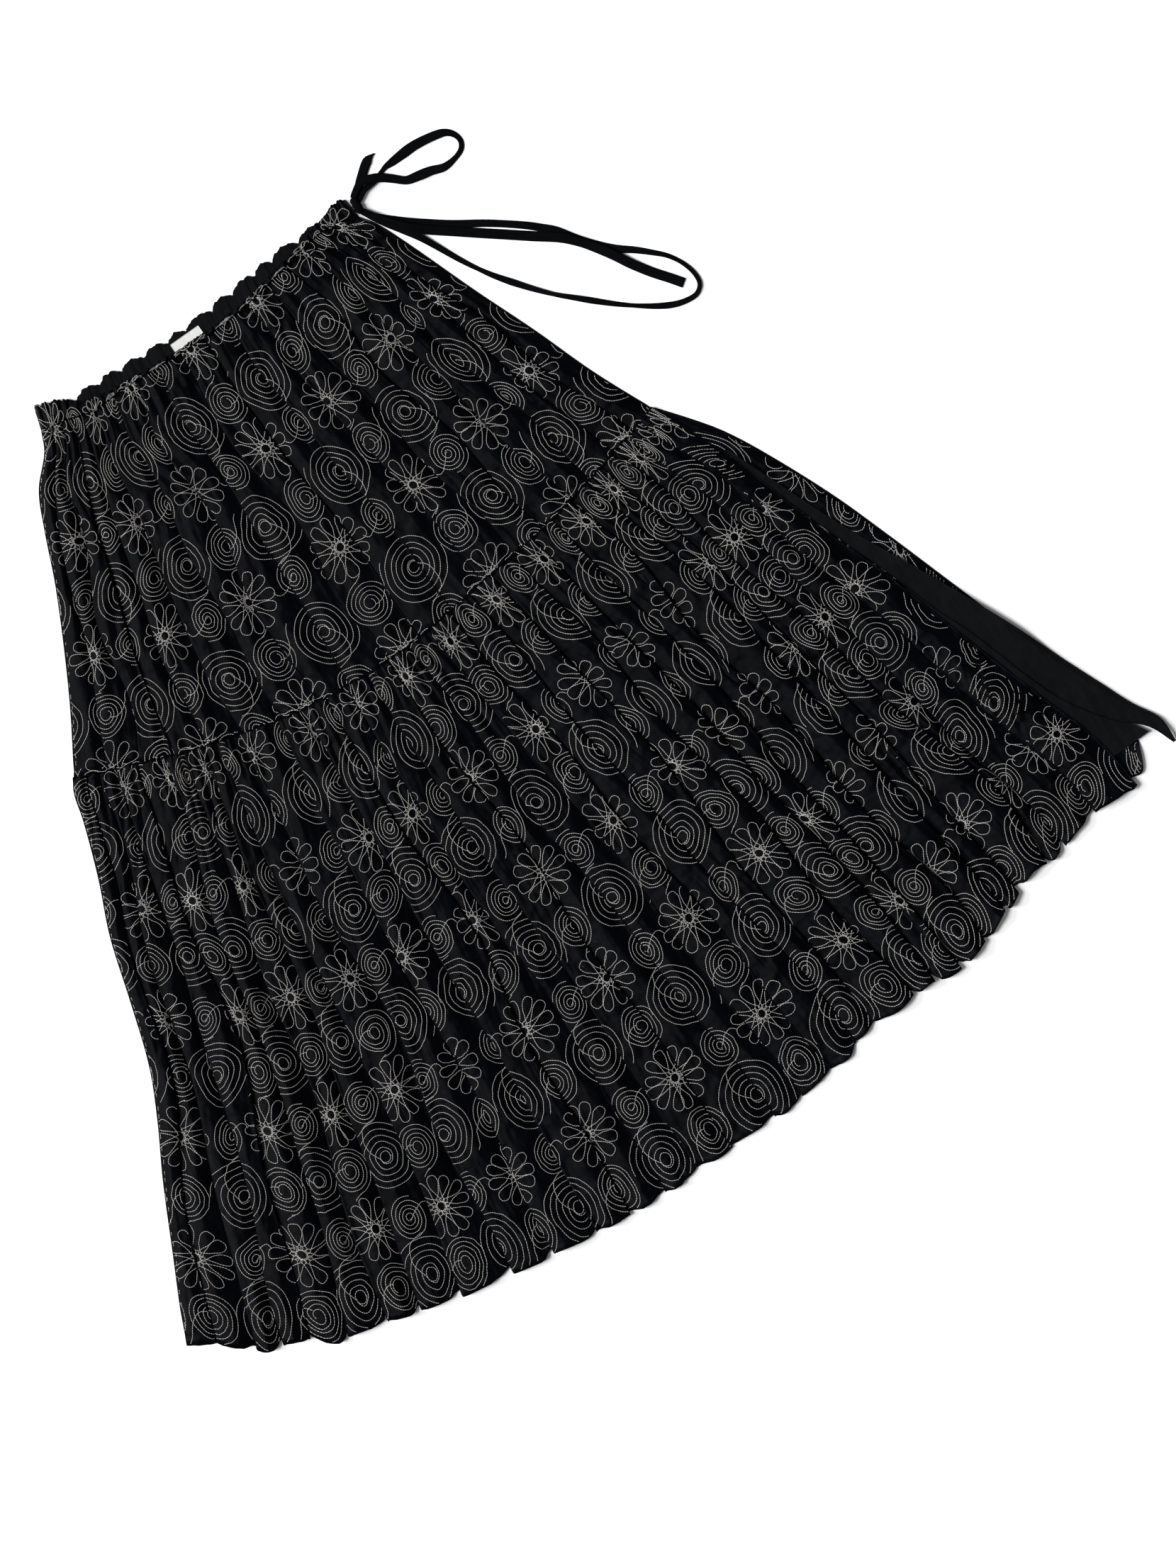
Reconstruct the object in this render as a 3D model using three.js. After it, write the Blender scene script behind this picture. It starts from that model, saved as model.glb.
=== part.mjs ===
// A long pleated skirt in two tiers, laid flat on a surface with its front up.
// Millimetres. Every place on the cloth is first given in the garment's own frame:
// "across" runs from the waist's middle to the right, "down" from the waist to the hem.
// The finished part has +X across, +Y towards the waist and +Z up from the surface.
import * as THREE from "three";

// Place of the part's origin in the garment's frame: the middle of its outline
const originAcross = 27.5;
const originDown = 452.81;

// Cloth walls, their gap at seams, and how far the back stops short of the front's outline
const clothWall = 1.5;
const backWall = 1.6;
const frillWall = 1.4;
const facingWall = 1.0;
const seamGap = 0.3;
const backInset = 10;
const backSeamDrop = 5;
const rest = backWall + seamGap;
const panelFade = 4;

// Waist: height of the front's gather line, and the frills' gathers
const waistLevel = 4.3;
const waistLiftLength = 45;
const frontFrill = { gathers: 30, wave: 1.6, scallop: 1.2 };
const backFrill = { scallops: 13, wave: 2.1, scallop: 7 };

// Tier seam and hem
const seamRelief = 1.4;
const upperGathers = 0.16;
const lowerGathers = 0.2;
const hemScallop = 4;
const hemBand = 0.1;

// Slit on the right of the lower tier: the layers that lie there, from the back up
const sideWave = 0.7;
const sideLevel = rest;
const frontFacingLevel = sideLevel + clothWall + sideWave + seamGap;
const sideFacingLevel = frontFacingLevel + facingWall + seamGap;
const frontFacingStart = 560;
const sideTuck = { top: 2, bottom: 20 };
const slitLift = { full: 5, none: 50, length: 25 };
const sideFacingDrop = { start: 640, end: 690 };

// Label and drawstring
const label = { across: -19.4, down: 23.8, width: 31.5, length: 16.5, thick: 0.8, tilt: 3.4 };
const labelPress = { from: -44, to: 4, wave: 0.2 };
const tape = { thick: 1.2, loopWidth: 8, endWidth: 9.4, sides: 8, step: 10 };
const knot = {
  across: 176.9,
  down: -2.5,
  up: 3.6,
  halfWidth: 4.6,
  halfLength: 9.5,
  halfHeight: 3.4,
  around: 14,
  rings: 8,
};

// Outline of the front, in millimetres of the garment's frame
const frontGatherLine = [
  { across: -178, down: 22 },
  { across: -152, down: 25 },
  { across: -128, down: 31 },
  { across: -90, down: 28 },
  { across: 0, down: 27 },
  { across: 55, down: 20 },
  { across: 116, down: 5 },
  { across: 146, down: 1 },
  { across: 174, down: 7 },
];
const frontFrillTop = [
  { across: -172, down: -1 },
  { across: -158, down: 4 },
  { across: -146, down: 7 },
  { across: -136, down: 14 },
  { across: -118, down: 22 },
  { across: -90, down: 24 },
  { across: 0, down: 23.5 },
  { across: 55, down: 16 },
  { across: 116, down: 0 },
  { across: 140, down: -8 },
  { across: 160, down: -14 },
  { across: 172, down: -12 },
];
const frontFrillEnds = {
  left: [
    { down: -1, across: -172 },
    { down: 22, across: -178 },
  ],
  right: [
    { down: -12, across: 172 },
    { down: 7, across: 174 },
  ],
};
const backGatherLine = [
  { across: -171, down: 19 },
  { across: -128, down: 27 },
  { across: -60, down: 27 },
  { across: 0, down: 26 },
  { across: 55, down: 19 },
  { across: 116, down: 4 },
  { across: 146, down: 0 },
  { across: 167, down: 4 },
];
const backFrillTop = [
  { across: -165, down: 6 },
  { across: -136, down: 9 },
  { across: -104, down: 8.5 },
  { across: -30, down: 9 },
  { across: 5, down: 6 },
  { across: 42, down: 1.5 },
  { across: 72, down: -3 },
  { across: 100, down: -6.5 },
  { across: 126, down: -8 },
  { across: 146, down: -10.5 },
  { across: 164, down: -9 },
];
const backFrillEnds = {
  left: [
    { down: 6, across: -165 },
    { down: 19, across: -171 },
  ],
  right: [
    { down: -9, across: 164 },
    { down: 4, across: 167 },
  ],
};
const tierSeam = [
  { across: -320, down: 309 },
  { across: -265, down: 327 },
  { across: -212, down: 344 },
  { across: -108, down: 365 },
  { across: -4, down: 367 },
  { across: 100, down: 351 },
  { across: 178, down: 337 },
  { across: 257, down: 315 },
  { across: 311, down: 298 },
];
const backHem = [
  { across: -495, down: 796 },
  { across: -382, down: 864 },
  { across: -177, down: 900 },
  { across: -87, down: 908 },
  { across: 148, down: 888 },
  { across: 316, down: 859 },
  { across: 406, down: 833 },
  { across: 470, down: 818 },
  { across: 510, down: 812 },
  { across: 521, down: 792 },
];
const sideTop = [
  { across: 309, down: 298.6 },
  { across: 313, down: 298.6 },
];
const sideHem = [
  { across: 488, down: 816 },
  { across: 508, down: 818 },
  { across: 520, down: 817 },
  { across: 531, down: 792 },
];
const upperLeftEdge = [
  { down: 22, across: -178 },
  { down: 40, across: -186 },
  { down: 66, across: -208 },
  { down: 100, across: -223 },
  { down: 153, across: -243 },
  { down: 240, across: -283 },
  { down: 309, across: -320 },
];
const upperRightEdge = [
  { down: 7, across: 174 },
  { down: 20, across: 184 },
  { down: 53, across: 200 },
  { down: 120, across: 229 },
  { down: 180, across: 256.5 },
  { down: 240, across: 282 },
  { down: 298, across: 311 },
];
const lowerLeftEdge = [
  { down: 309, across: -320 },
  { down: 322, across: -327 },
  { down: 348, across: -333 },
  { down: 400, across: -349 },
  { down: 451, across: -368 },
  { down: 510, across: -383 },
  { down: 570, across: -399.5 },
  { down: 616, across: -419 },
  { down: 666, across: -444 },
  { down: 731, across: -473 },
  { down: 802, across: -505 },
];
const slitEdge = [
  { down: 298, across: 311 },
  { down: 371, across: 346 },
  { down: 484, across: 389 },
  { down: 535, across: 411 },
  { down: 594, across: 432 },
  { down: 707, across: 474 },
  { down: 766, across: 497 },
  { down: 823, across: 508 },
];
const sideOutline = [
  { down: 298, across: 313 },
  { down: 322, across: 334 },
  { down: 348, across: 354.5 },
  { down: 384, across: 376 },
  { down: 451, across: 409.5 },
  { down: 510, across: 434 },
  { down: 570, across: 457.5 },
  { down: 616, across: 475.5 },
  { down: 652, across: 489 },
  { down: 724, across: 514 },
  { down: 792, across: 531 },
];

// Outlines of the two slit facings
const sideFacing = {
  above: [
    { across: 345.8, down: 366 },
    { across: 349, down: 366 },
  ],
  below: [
    { across: 557, down: 810 },
    { across: 560, down: 810 },
  ],
  left: [
    { down: 366, across: 345.8 },
    { down: 463, across: 382.4 },
    { down: 543, across: 416 },
    { down: 590, across: 434 },
    { down: 627, across: 451 },
    { down: 716, across: 486 },
    { down: 762, across: 518 },
    { down: 785, across: 544 },
    { down: 810, across: 557 },
  ],
  right: [
    { down: 366, across: 349 },
    { down: 480, across: 402 },
    { down: 552, across: 441 },
    { down: 610, across: 472 },
    { down: 652, across: 493 },
    { down: 700, across: 515 },
    { down: 731, across: 530 },
    { down: 760, across: 544 },
    { down: 785, across: 559 },
    { down: 810, across: 560 },
  ],
};
const frontFacing = {
  above: [
    { across: 411, down: 560 },
    { across: 425, down: 560 },
  ],
  below: [
    { across: 494, down: 793 },
    { across: 543, down: 790 },
  ],
  left: [
    { down: 560, across: 411 },
    { down: 707, across: 464 },
    { down: 793, across: 494 },
  ],
  right: [
    { down: 560, across: 425 },
    { down: 707, across: 490 },
    { down: 790, across: 543 },
  ],
};

// Folds. Each row is one valley and the ridge to its right: the valley's place along the
// panel's upper and lower edge, how high the ridge stands at mid length and at the lower
// edge, where between two valleys the crest lies, from 0 to 1, and how far down its hem is.
const upperFolds = [
  { from: -178, to: -320, mid: 3.2, end: 1.6, crest: 0.6 },
  { from: -167, to: -292, mid: 4.6, end: 1.8, crest: 0.4 },
  { from: -157, to: -262, mid: 3.4, end: 1.8, crest: 0.5 },
  { from: -147, to: -234, mid: 3.0, end: 1.6, crest: 0.6 },
  { from: -138, to: -203, mid: 6.2, end: 2.4, crest: 0.3 },
  { from: -124, to: -166, mid: 3.4, end: 1.6, crest: 0.5 },
  { from: -104, to: -124, mid: 4.0, end: 1.6, crest: 0.35 },
  { from: -80, to: -91, mid: 2.8, end: 1.2, crest: 0.5 },
  { from: -56, to: -54, mid: 3.2, end: 1.2, crest: 0.4 },
  { from: -31, to: -17, mid: 2.6, end: 1.2, crest: 0.6 },
  { from: -6, to: 22, mid: 3.4, end: 1.4, crest: 0.45 },
  { from: 20, to: 60, mid: 3.0, end: 1.2, crest: 0.5 },
  { from: 44, to: 96, mid: 3.6, end: 1.4, crest: 0.4 },
  { from: 68, to: 132, mid: 3.0, end: 1.4, crest: 0.6 },
  { from: 92, to: 168, mid: 4.2, end: 1.6, crest: 0.5 },
  { from: 114, to: 202, mid: 3.4, end: 1.6, crest: 0.4 },
  { from: 132, to: 232, mid: 4.6, end: 2.0, crest: 0.6 },
  { from: 146, to: 259, mid: 5.6, end: 2.2, crest: 0.7 },
  { from: 158, to: 284, mid: 3.6, end: 1.8, crest: 0.4 },
];
const upperFoldsEnd = { from: 174, to: 311 };
const lowerFolds = [
  { from: -320, to: -505, mid: 3.2, end: 2.6, crest: 0.6, hem: 814 },
  { from: -307, to: -484, mid: 4.0, end: 3.4, crest: 0.5, hem: 830 },
  { from: -295, to: -455, mid: 4.6, end: 4.0, crest: 0.4, hem: 850 },
  { from: -280, to: -428, mid: 5.0, end: 4.0, crest: 0.5, hem: 857 },
  { from: -262, to: -403, mid: 4.2, end: 5.0, crest: 0.6, hem: 876 },
  { from: -236, to: -376, mid: 7.0, end: 6.0, crest: 0.3, hem: 879 },
  { from: -220, to: -340, mid: 4.4, end: 5.0, crest: 0.5, hem: 889 },
  { from: -205, to: -301, mid: 4.0, end: 4.0, crest: 0.4, hem: 896 },
  { from: -190, to: -264, mid: 6.0, end: 4.2, crest: 0.35, hem: 903 },
  { from: -168, to: -216, mid: 4.0, end: 4.6, crest: 0.5, hem: 911 },
  { from: -132, to: -173, mid: 5.2, end: 7.2, crest: 0.3, hem: 914 },
  { from: -106, to: -130, mid: 4.0, end: 3.4, crest: 0.6, hem: 918 },
  { from: -84, to: -90, mid: 3.2, end: 2.6, crest: 0.5, hem: 919 },
  { from: -62, to: -56, mid: 3.0, end: 2.6, crest: 0.4, hem: 919 },
  { from: -40, to: -22, mid: 2.8, end: 2.4, crest: 0.6, hem: 916 },
  { from: -18, to: 22, mid: 3.2, end: 2.2, crest: 0.5, hem: 913 },
  { from: 6, to: 66, mid: 2.6, end: 2.6, crest: 0.4, hem: 913 },
  { from: 30, to: 100, mid: 3.2, end: 2.4, crest: 0.5, hem: 906 },
  { from: 54, to: 134, mid: 3.0, end: 2.2, crest: 0.6, hem: 901 },
  { from: 78, to: 164, mid: 3.6, end: 3.2, crest: 0.5, hem: 889 },
  { from: 104, to: 192, mid: 4.2, end: 4.4, crest: 0.6, hem: 888 },
  { from: 130, to: 232, mid: 6.0, end: 6.4, crest: 0.7, hem: 882 },
  { from: 154, to: 258, mid: 4.6, end: 5.0, crest: 0.5, hem: 886 },
  { from: 178, to: 284, mid: 5.2, end: 5.6, crest: 0.6, hem: 881 },
  { from: 202, to: 312, mid: 6.4, end: 6.0, crest: 0.7, hem: 867 },
  { from: 224, to: 346, mid: 4.6, end: 5.4, crest: 0.5, hem: 859 },
  { from: 242, to: 364, mid: 6.0, end: 6.4, crest: 0.65, hem: 843 },
  { from: 260, to: 400, mid: 4.4, end: 4.6, crest: 0.4, hem: 844 },
  { from: 276, to: 420, mid: 4.0, end: 4.0, crest: 0.5, hem: 833 },
  { from: 292, to: 460, mid: 3.6, end: 3.4, crest: 0.4, hem: 827 },
];
const lowerFoldsEnd = { from: 311, to: 508 };
const sideFolds = [
  { share: 0, wave: 0 },
  { share: 0.2, wave: 0.3 },
  { share: 0.38, wave: 1 },
  { share: 0.54, wave: 0.2 },
  { share: 0.7, wave: 0.9 },
  { share: 0.87, wave: 0.4 },
  { share: 1, wave: 0 },
];

// Routes of the drawstring's four stretches, chosen by hand
const shortLoopRoute = [
  { across: 183, down: -5.9, up: 3.4 },
  { across: 190, down: -10.4, up: 3.2 },
  { across: 197, down: -12, up: 2.6 },
  { across: 206.5, down: -14, up: 1.5 },
  { across: 216.7, down: -18.6, up: 0.8 },
  { across: 226.9, down: -19.8, up: 0.8 },
  { across: 238, down: -21, up: 0.8 },
  { across: 252, down: -22, up: 0.8 },
  { across: 269.6, down: -20.4, up: 0.8 },
  { across: 281.8, down: -17.2, up: 0.8 },
  { across: 288.6, down: -10, up: 0.8 },
  { across: 289.6, down: -1.5, up: 0.8 },
  { across: 283, down: 5.5, up: 0.8 },
  { across: 266, down: 9.4, up: 0.8 },
  { across: 252, down: 5.8, up: 0.8 },
  { across: 240, down: 3.8, up: 0.8 },
  { across: 228.5, down: 1.4, up: 0.8 },
  { across: 219.5, down: -5.5, up: 1.6 },
  { across: 210.6, down: -12, up: 3.2 },
  { across: 201, down: -16.6, up: 4.3 },
  { across: 191.5, down: -18.2, up: 5 },
  { across: 180.9, down: -12, up: 5.2 },
];
const shortEndRoute = [
  { across: 183.4, down: -11, up: 1.6 },
  { across: 188.5, down: -16.6, up: 1.3 },
  { across: 196.5, down: -24, up: 0.8 },
  { across: 204, down: -30.4, up: 0.8 },
  { across: 210, down: -33.8, up: 0.8 },
  { across: 216.4, down: -35, up: 0.8 },
];
const longLoopRoute = [
  { across: 180.3, down: 6.7, up: 1.4 },
  { across: 186.5, down: 14.6, up: 1 },
  { across: 196, down: 23.6, up: 0.8 },
  { across: 207, down: 32.6, up: 0.8 },
  { across: 222, down: 43.4, up: 0.8 },
  { across: 243, down: 57.5, up: 0.8 },
  { across: 267.4, down: 71.8, up: 0.8 },
  { across: 283, down: 82, up: 0.8 },
  { across: 300, down: 94.2, up: 0.8 },
  { across: 312, down: 104.4, up: 0.8 },
  { across: 321.5, down: 113.4, up: 0.8 },
  { across: 332.6, down: 128.5, up: 0.8 },
  { across: 344.8, down: 142.7, up: 0.8 },
  { across: 358, down: 155, up: 0.8 },
  { across: 373.3, down: 166, up: 0.8 },
  { across: 386, down: 176.6, up: 0.8 },
  { across: 396.4, down: 186.4, up: 0.8 },
  { across: 404, down: 198, up: 0.8 },
  { across: 408.6, down: 211, up: 0.8 },
  { across: 408.4, down: 223, up: 0.8 },
  { across: 401.5, down: 229.8, up: 0.8 },
  { across: 392, down: 230.6, up: 0.8 },
  { across: 379.4, down: 228, up: 0.8 },
  { across: 365.2, down: 221.4, up: 0.8 },
  { across: 348.9, down: 211.2, up: 0.8 },
  { across: 334.7, down: 200.8, up: 0.8 },
  { across: 320.4, down: 189, up: 0.8 },
  { across: 304.2, down: 175, up: 0.8 },
  { across: 289.9, down: 162.4, up: 0.8 },
  { across: 275.7, down: 147.8, up: 0.8 },
  { across: 261.4, down: 131.3, up: 0.8 },
  { across: 249.6, down: 116.6, up: 0.8 },
  { across: 239.4, down: 101.6, up: 0.8 },
  { across: 231.4, down: 88.2, up: 0.8 },
  { across: 224, down: 74.6, up: 0.8 },
  { across: 216.9, down: 61.6, up: 1.4 },
  { across: 210.2, down: 50.6, up: 2.6 },
  { across: 202.4, down: 39.6, up: 2.6 },
  { across: 193.6, down: 28, up: 2.6 },
  { across: 186.6, down: 17.8, up: 2.8 },
  { across: 180.7, down: 7.6, up: 3 },
];
const longEndRoute = [
  { across: 180.5, down: 7, up: 4.6 },
  { across: 186.6, down: 16.2, up: 4.5 },
  { across: 195.6, down: 28, up: 4.4 },
  { across: 207, down: 39.4, up: 4.3 },
  { across: 221, down: 50.4, up: 2.9 },
  { across: 241.2, down: 64.6, up: 2.2 },
  { across: 261.4, down: 78.8, up: 1 },
  { across: 281.8, down: 93, up: 0.8 },
  { across: 302, down: 107.3, up: 1.2 },
  { across: 320.5, down: 120.2, up: 2.7 },
  { across: 334.7, down: 133.6, up: 2.9 },
  { across: 344.8, down: 146.4, up: 2.9 },
  { across: 355, down: 161, up: 2.9 },
  { across: 363.8, down: 175, up: 2 },
  { across: 375.5, down: 190.8, up: 0.8 },
  { across: 387.5, down: 205, up: 0.8 },
  { across: 396, down: 215.6, up: 0.8 },
];

// Colours and finish of the cloths
const cloth = (color, roughness) => new THREE.MeshStandardMaterial({ color, roughness, metalness: 0 });
const embroideredCloth = cloth(0x17181d, 0.72);
const plainCloth = cloth(0x141417, 0.85);
const tapeCloth = cloth(0x101013, 0.9);
const labelCloth = cloth(0xe9e8e4, 0.8);

const mix = (a, b, f) => a + (b - a) * f;
const clamp = (f) => Math.min(1, Math.max(0, f));
const ease = (f) => clamp(f) ** 2 * (3 - 2 * clamp(f));
const evenly = (count) => Array.from({ length: count + 1 }, (_, i) => i / count);

// The value in column "value" of a table where column "key" is "at", on a smooth curve
function read(table, key, value, at) {
  const last = table.length - 1;
  let i = 0;
  while (i < last - 1 && at > table[i + 1][key]) i += 1;
  const slope = (j) => {
    const a = table[Math.max(0, j - 1)];
    const b = table[Math.min(last, j + 1)];
    return (b[value] - a[value]) / (b[key] - a[key]);
  };
  const span = table[i + 1][key] - table[i][key];
  const f = clamp((at - table[i][key]) / span);
  const fromStart = table[i][value] * (1 + 2 * f) * (1 - f) ** 2 + slope(i) * span * f * (1 - f) ** 2;
  return fromStart + table[i + 1][value] * f * f * (3 - 2 * f) - slope(i + 1) * span * f * f * (1 - f);
}

const downAt = (table, across) => read(table, "across", "down", across);
const acrossAt = (table, down) => read(table, "down", "across", down);
const lowered = (table, by) => table.map((row) => ({ ...row, down: row.down + by }));
const narrowed = (table, by) => table.map((row) => ({ ...row, across: row.across + by }));

// A sheet bounded by four edges: f runs from the left edge to the right one and g from the
// edge above to the edge below, both from 0 to 1. A bend in a side edge fades towards the
// other side, the sooner the higher "fade" is.
function patch({ above, below, left, right, fade = 1 }) {
  const downOn = (side, g) => mix(side[0].down, side.at(-1).down, g);
  const bend = (side, g) => acrossAt(side, downOn(side, g)) - mix(side[0].across, side.at(-1).across, g);
  const edgeAcross = (row, f) => mix(left.at(row).across, right.at(row).across, f);
  return (f, g) => {
    const upper = edgeAcross(0, f);
    const lower = edgeAcross(-1, f);
    const bent = bend(left, g) * (1 - f) ** fade + bend(right, g) * f ** fade;
    return { across: mix(upper, lower, g) + bent, down: mix(downAt(above, upper), downAt(below, lower), g) };
  };
}

// From the garment's frame to the part's frame
const place = ({ across, down, up }) => new THREE.Vector3(across - originAcross, originDown - down, up);

function named(name, geometry, material) {
  const mesh = new THREE.Mesh(geometry, material);
  mesh.name = name;
  return mesh;
}

// A closed wall over a grid of points given by row and column, "wall" thick below them
function clothPiece({ name, columns, rows, wall, face, material }) {
  const outer = rows.map((row) => columns.map((column) => face(column, row)));
  const inner = outer.map((line) => line.map((point) => ({ ...point, up: point.up - wall })));
  const points = [...outer.flat(), ...inner.flat()].map(place);
  const across = columns.length;
  const top = (row, column) => row * across + column;
  const base = (row, column) => (rows.length + row) * across + column;
  const faces = [];
  const quad = (a, b, c, d) => faces.push(a, b, c, a, c, d);
  const lastRow = rows.length - 1;
  const lastColumn = across - 1;
  for (let row = 0; row < lastRow; row += 1) {
    const under = row + 1;
    for (let column = 0; column < lastColumn; column += 1) {
      const next = column + 1;
      quad(top(row, column), top(under, column), top(under, next), top(row, next));
      quad(base(row, column), base(row, next), base(under, next), base(under, column));
    }
    quad(top(row, 0), base(row, 0), base(under, 0), top(under, 0));
    quad(top(row, lastColumn), top(under, lastColumn), base(under, lastColumn), base(row, lastColumn));
  }
  for (let column = 0; column < lastColumn; column += 1) {
    const next = column + 1;
    quad(top(0, column), top(0, next), base(0, next), base(0, column));
    quad(top(lastRow, column), base(lastRow, column), base(lastRow, next), top(lastRow, next));
  }
  const geometry = new THREE.BufferGeometry().setFromPoints(points);
  geometry.setIndex(faces);
  geometry.computeVertexNormals();
  return named(name, geometry, material);
}

// The columns of a folded panel, four for each fold, with their shares of the panel's width
// along its upper and its lower edge
const foldShape = [0, 0.72, 1, 0.78];
const gatherShape = [0, 1, 0.25, 0.9];
function foldColumns(folds, end) {
  const first = folds[0];
  const shareOn = (edge, across) => (across - first[edge]) / (end[edge] - first[edge]);
  const columns = folds.flatMap((fold, i) => {
    const next = folds[i + 1] ?? end;
    return foldShape.map((_, step) => {
      const even = (2 * step) / foldShape.length;
      const share = even < 1 ? even * fold.crest : mix(fold.crest, 1, even - 1);
      const upper = shareOn("from", mix(fold.from, next.from, share));
      return { fold, step, upper, lower: shareOn("to", mix(fold.to, next.to, share)) };
    });
  });
  return [...columns, { fold: folds.at(-1), step: 0, upper: 1, lower: 1 }];
}

// How high a fold stands over its valleys: gathers next to the seam above, then the ridge
function foldHeight({ fold, step }, g, gatherHeight, gatherShare) {
  const upperHalf = mix(gatherHeight, fold.mid, ease(2 * g));
  const height = g < 0.5 ? upperHalf : mix(fold.mid, fold.end, ease(2 * g - 1));
  return height * mix(gatherShape[step], foldShape[step], ease(g / gatherShare));
}

// Rows of points down each tier, as shares of its length
const upperRows = [0, 0.05, 0.14, 0.28, 0.44, 0.6, 0.76, 0.9, 1];
const lowerRows = [0, 0.02, 0.06, 0.13, 0.24, 0.38, 0.53, 0.68, 0.82, 0.93, 1];

function frontUpper() {
  const columns = foldColumns(upperFolds, upperFoldsEnd);
  const onPanel = patch({
    above: frontGatherLine,
    below: lowered(tierSeam, -seamGap / 2),
    left: upperLeftEdge,
    right: upperRightEdge,
    fade: panelFade,
  });
  // Its side edges turn down to the surface, past the back's edges
  const turned = new Set([columns[0], columns.at(-1)]);
  const face = (column, g) => {
    const { across, down } = onPanel(mix(column.upper, column.lower, g), g);
    const toWaist = down - downAt(frontGatherLine, across);
    const lift = (waistLevel - rest) * (1 - ease(toWaist / waistLiftLength));
    const ridge = foldHeight(column, g, frontFrill.wave, upperGathers);
    return { across, down, up: clothWall + (turned.has(column) ? 0 : rest + lift + ridge) };
  };
  return clothPiece({
    name: "skirt_front_upper",
    columns,
    rows: upperRows,
    wall: clothWall,
    face,
    material: embroideredCloth,
  });
}

function frontLower() {
  const columns = foldColumns(lowerFolds, lowerFoldsEnd);
  // The hem runs through the folds' crests, from corner to corner
  const crests = lowerFolds.map(({ to, crest, hem }, i) => {
    return { across: mix(to, (lowerFolds[i + 1] ?? lowerFoldsEnd).to, crest), down: hem - hemScallop };
  });
  const hemLine = [{ ...lowerLeftEdge.at(-1) }, ...crests, { ...slitEdge.at(-1) }];
  const onPanel = patch({
    above: lowered(tierSeam, seamGap / 2),
    below: hemLine,
    left: lowerLeftEdge,
    right: slitEdge,
    fade: panelFade,
  });
  const face = (column, g) => {
    const { across, down } = onPanel(mix(column.upper, column.lower, g), g);
    const toSlit = acrossAt(slitEdge, down) - across;
    const tuck = mix(sideTuck.top, sideTuck.bottom, g) + slitLift.full;
    const near = 1 - ease((toSlit - tuck) / slitLift.none);
    const onFacing = ease((down - frontFacingStart + 2 * slitLift.length) / slitLift.length);
    const lift = near * (mix(frontFacingLevel, sideFacingLevel, onFacing) - rest);
    const ridge = foldHeight(column, g, seamRelief, lowerGathers);
    const scallop = hemScallop * foldShape[column.step] * ease((g - 1 + hemBand) / hemBand);
    const level = column === columns[0] ? 0 : rest + lift + ridge;
    return { across, down: down + scallop, up: clothWall + level };
  };
  return clothPiece({
    name: "skirt_front_lower",
    columns,
    rows: lowerRows,
    wall: clothWall,
    face,
    material: embroideredCloth,
  });
}

// The back lies flat on the surface, inside the front's outline
function backPanel(name, outline, rows) {
  const onPanel = patch(outline);
  const face = (f, g) => ({ ...onPanel(f, g), up: backWall });
  return clothPiece({ name, columns: evenly(24), rows, wall: backWall, face, material: embroideredCloth });
}

function backUpper() {
  const outline = {
    above: lowered(backGatherLine, seamGap),
    below: lowered(tierSeam, backSeamDrop - seamGap / 2),
    left: narrowed(upperLeftEdge, backInset),
    right: narrowed(upperRightEdge, -backInset),
    fade: panelFade,
  };
  return backPanel("skirt_back_upper", outline, upperRows);
}

function backLower() {
  const outline = {
    above: lowered(tierSeam, backSeamDrop + seamGap / 2),
    below: backHem,
    left: narrowed(lowerLeftEdge, backInset),
    right: narrowed(sideOutline, -backInset),
    fade: panelFade,
  };
  return backPanel("skirt_back_lower", outline, lowerRows);
}

// The cloth beyond the slit, tucked under the front's slit edge
function sideLower() {
  const tucked = slitEdge.map(({ down, across }) => {
    const g = (down - slitEdge[0].down) / (slitEdge.at(-1).down - slitEdge[0].down);
    return { down, across: across - mix(sideTuck.top, sideTuck.bottom, g) };
  });
  const onPanel = patch({
    above: sideTop,
    below: sideHem,
    left: tucked,
    right: sideOutline,
  });
  const face = ({ share, wave }, g) => {
    const level = share === 1 ? 0 : sideLevel + sideWave * wave * ease(g / hemBand);
    return { ...onPanel(share, g), up: clothWall + level };
  };
  const rows = [0, 0.1, 0.2, 0.35, 0.5, 0.65, 0.8, 0.92, 1];
  return clothPiece({
    name: "skirt_side_lower",
    columns: sideFolds,
    rows,
    wall: clothWall,
    face,
    material: embroideredCloth,
  });
}

function frontWaistFrill() {
  const columns = evenly(2 * frontFrill.gathers).map((share, i) => ({ share, crest: i % 2 }));
  const onPanel = patch({ above: frontFrillTop, below: lowered(frontGatherLine, -seamGap), ...frontFrillEnds });
  const turned = new Set([columns[0], columns.at(-1)]);
  const face = (column, g) => {
    const { across, down } = onPanel(column.share, g);
    const wave = frontFrill.wave * column.crest * mix(1, 0.6, g);
    const level = turned.has(column) ? 0 : waistLevel + wave;
    const scallop = frontFrill.scallop * (1 - column.crest) * (1 - g);
    return { across, down: down + scallop, up: frillWall + level };
  };
  return clothPiece({
    name: "waist_frill_front",
    columns,
    rows: [0, 0.5, 1],
    wall: frillWall,
    face,
    material: embroideredCloth,
  });
}

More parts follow.
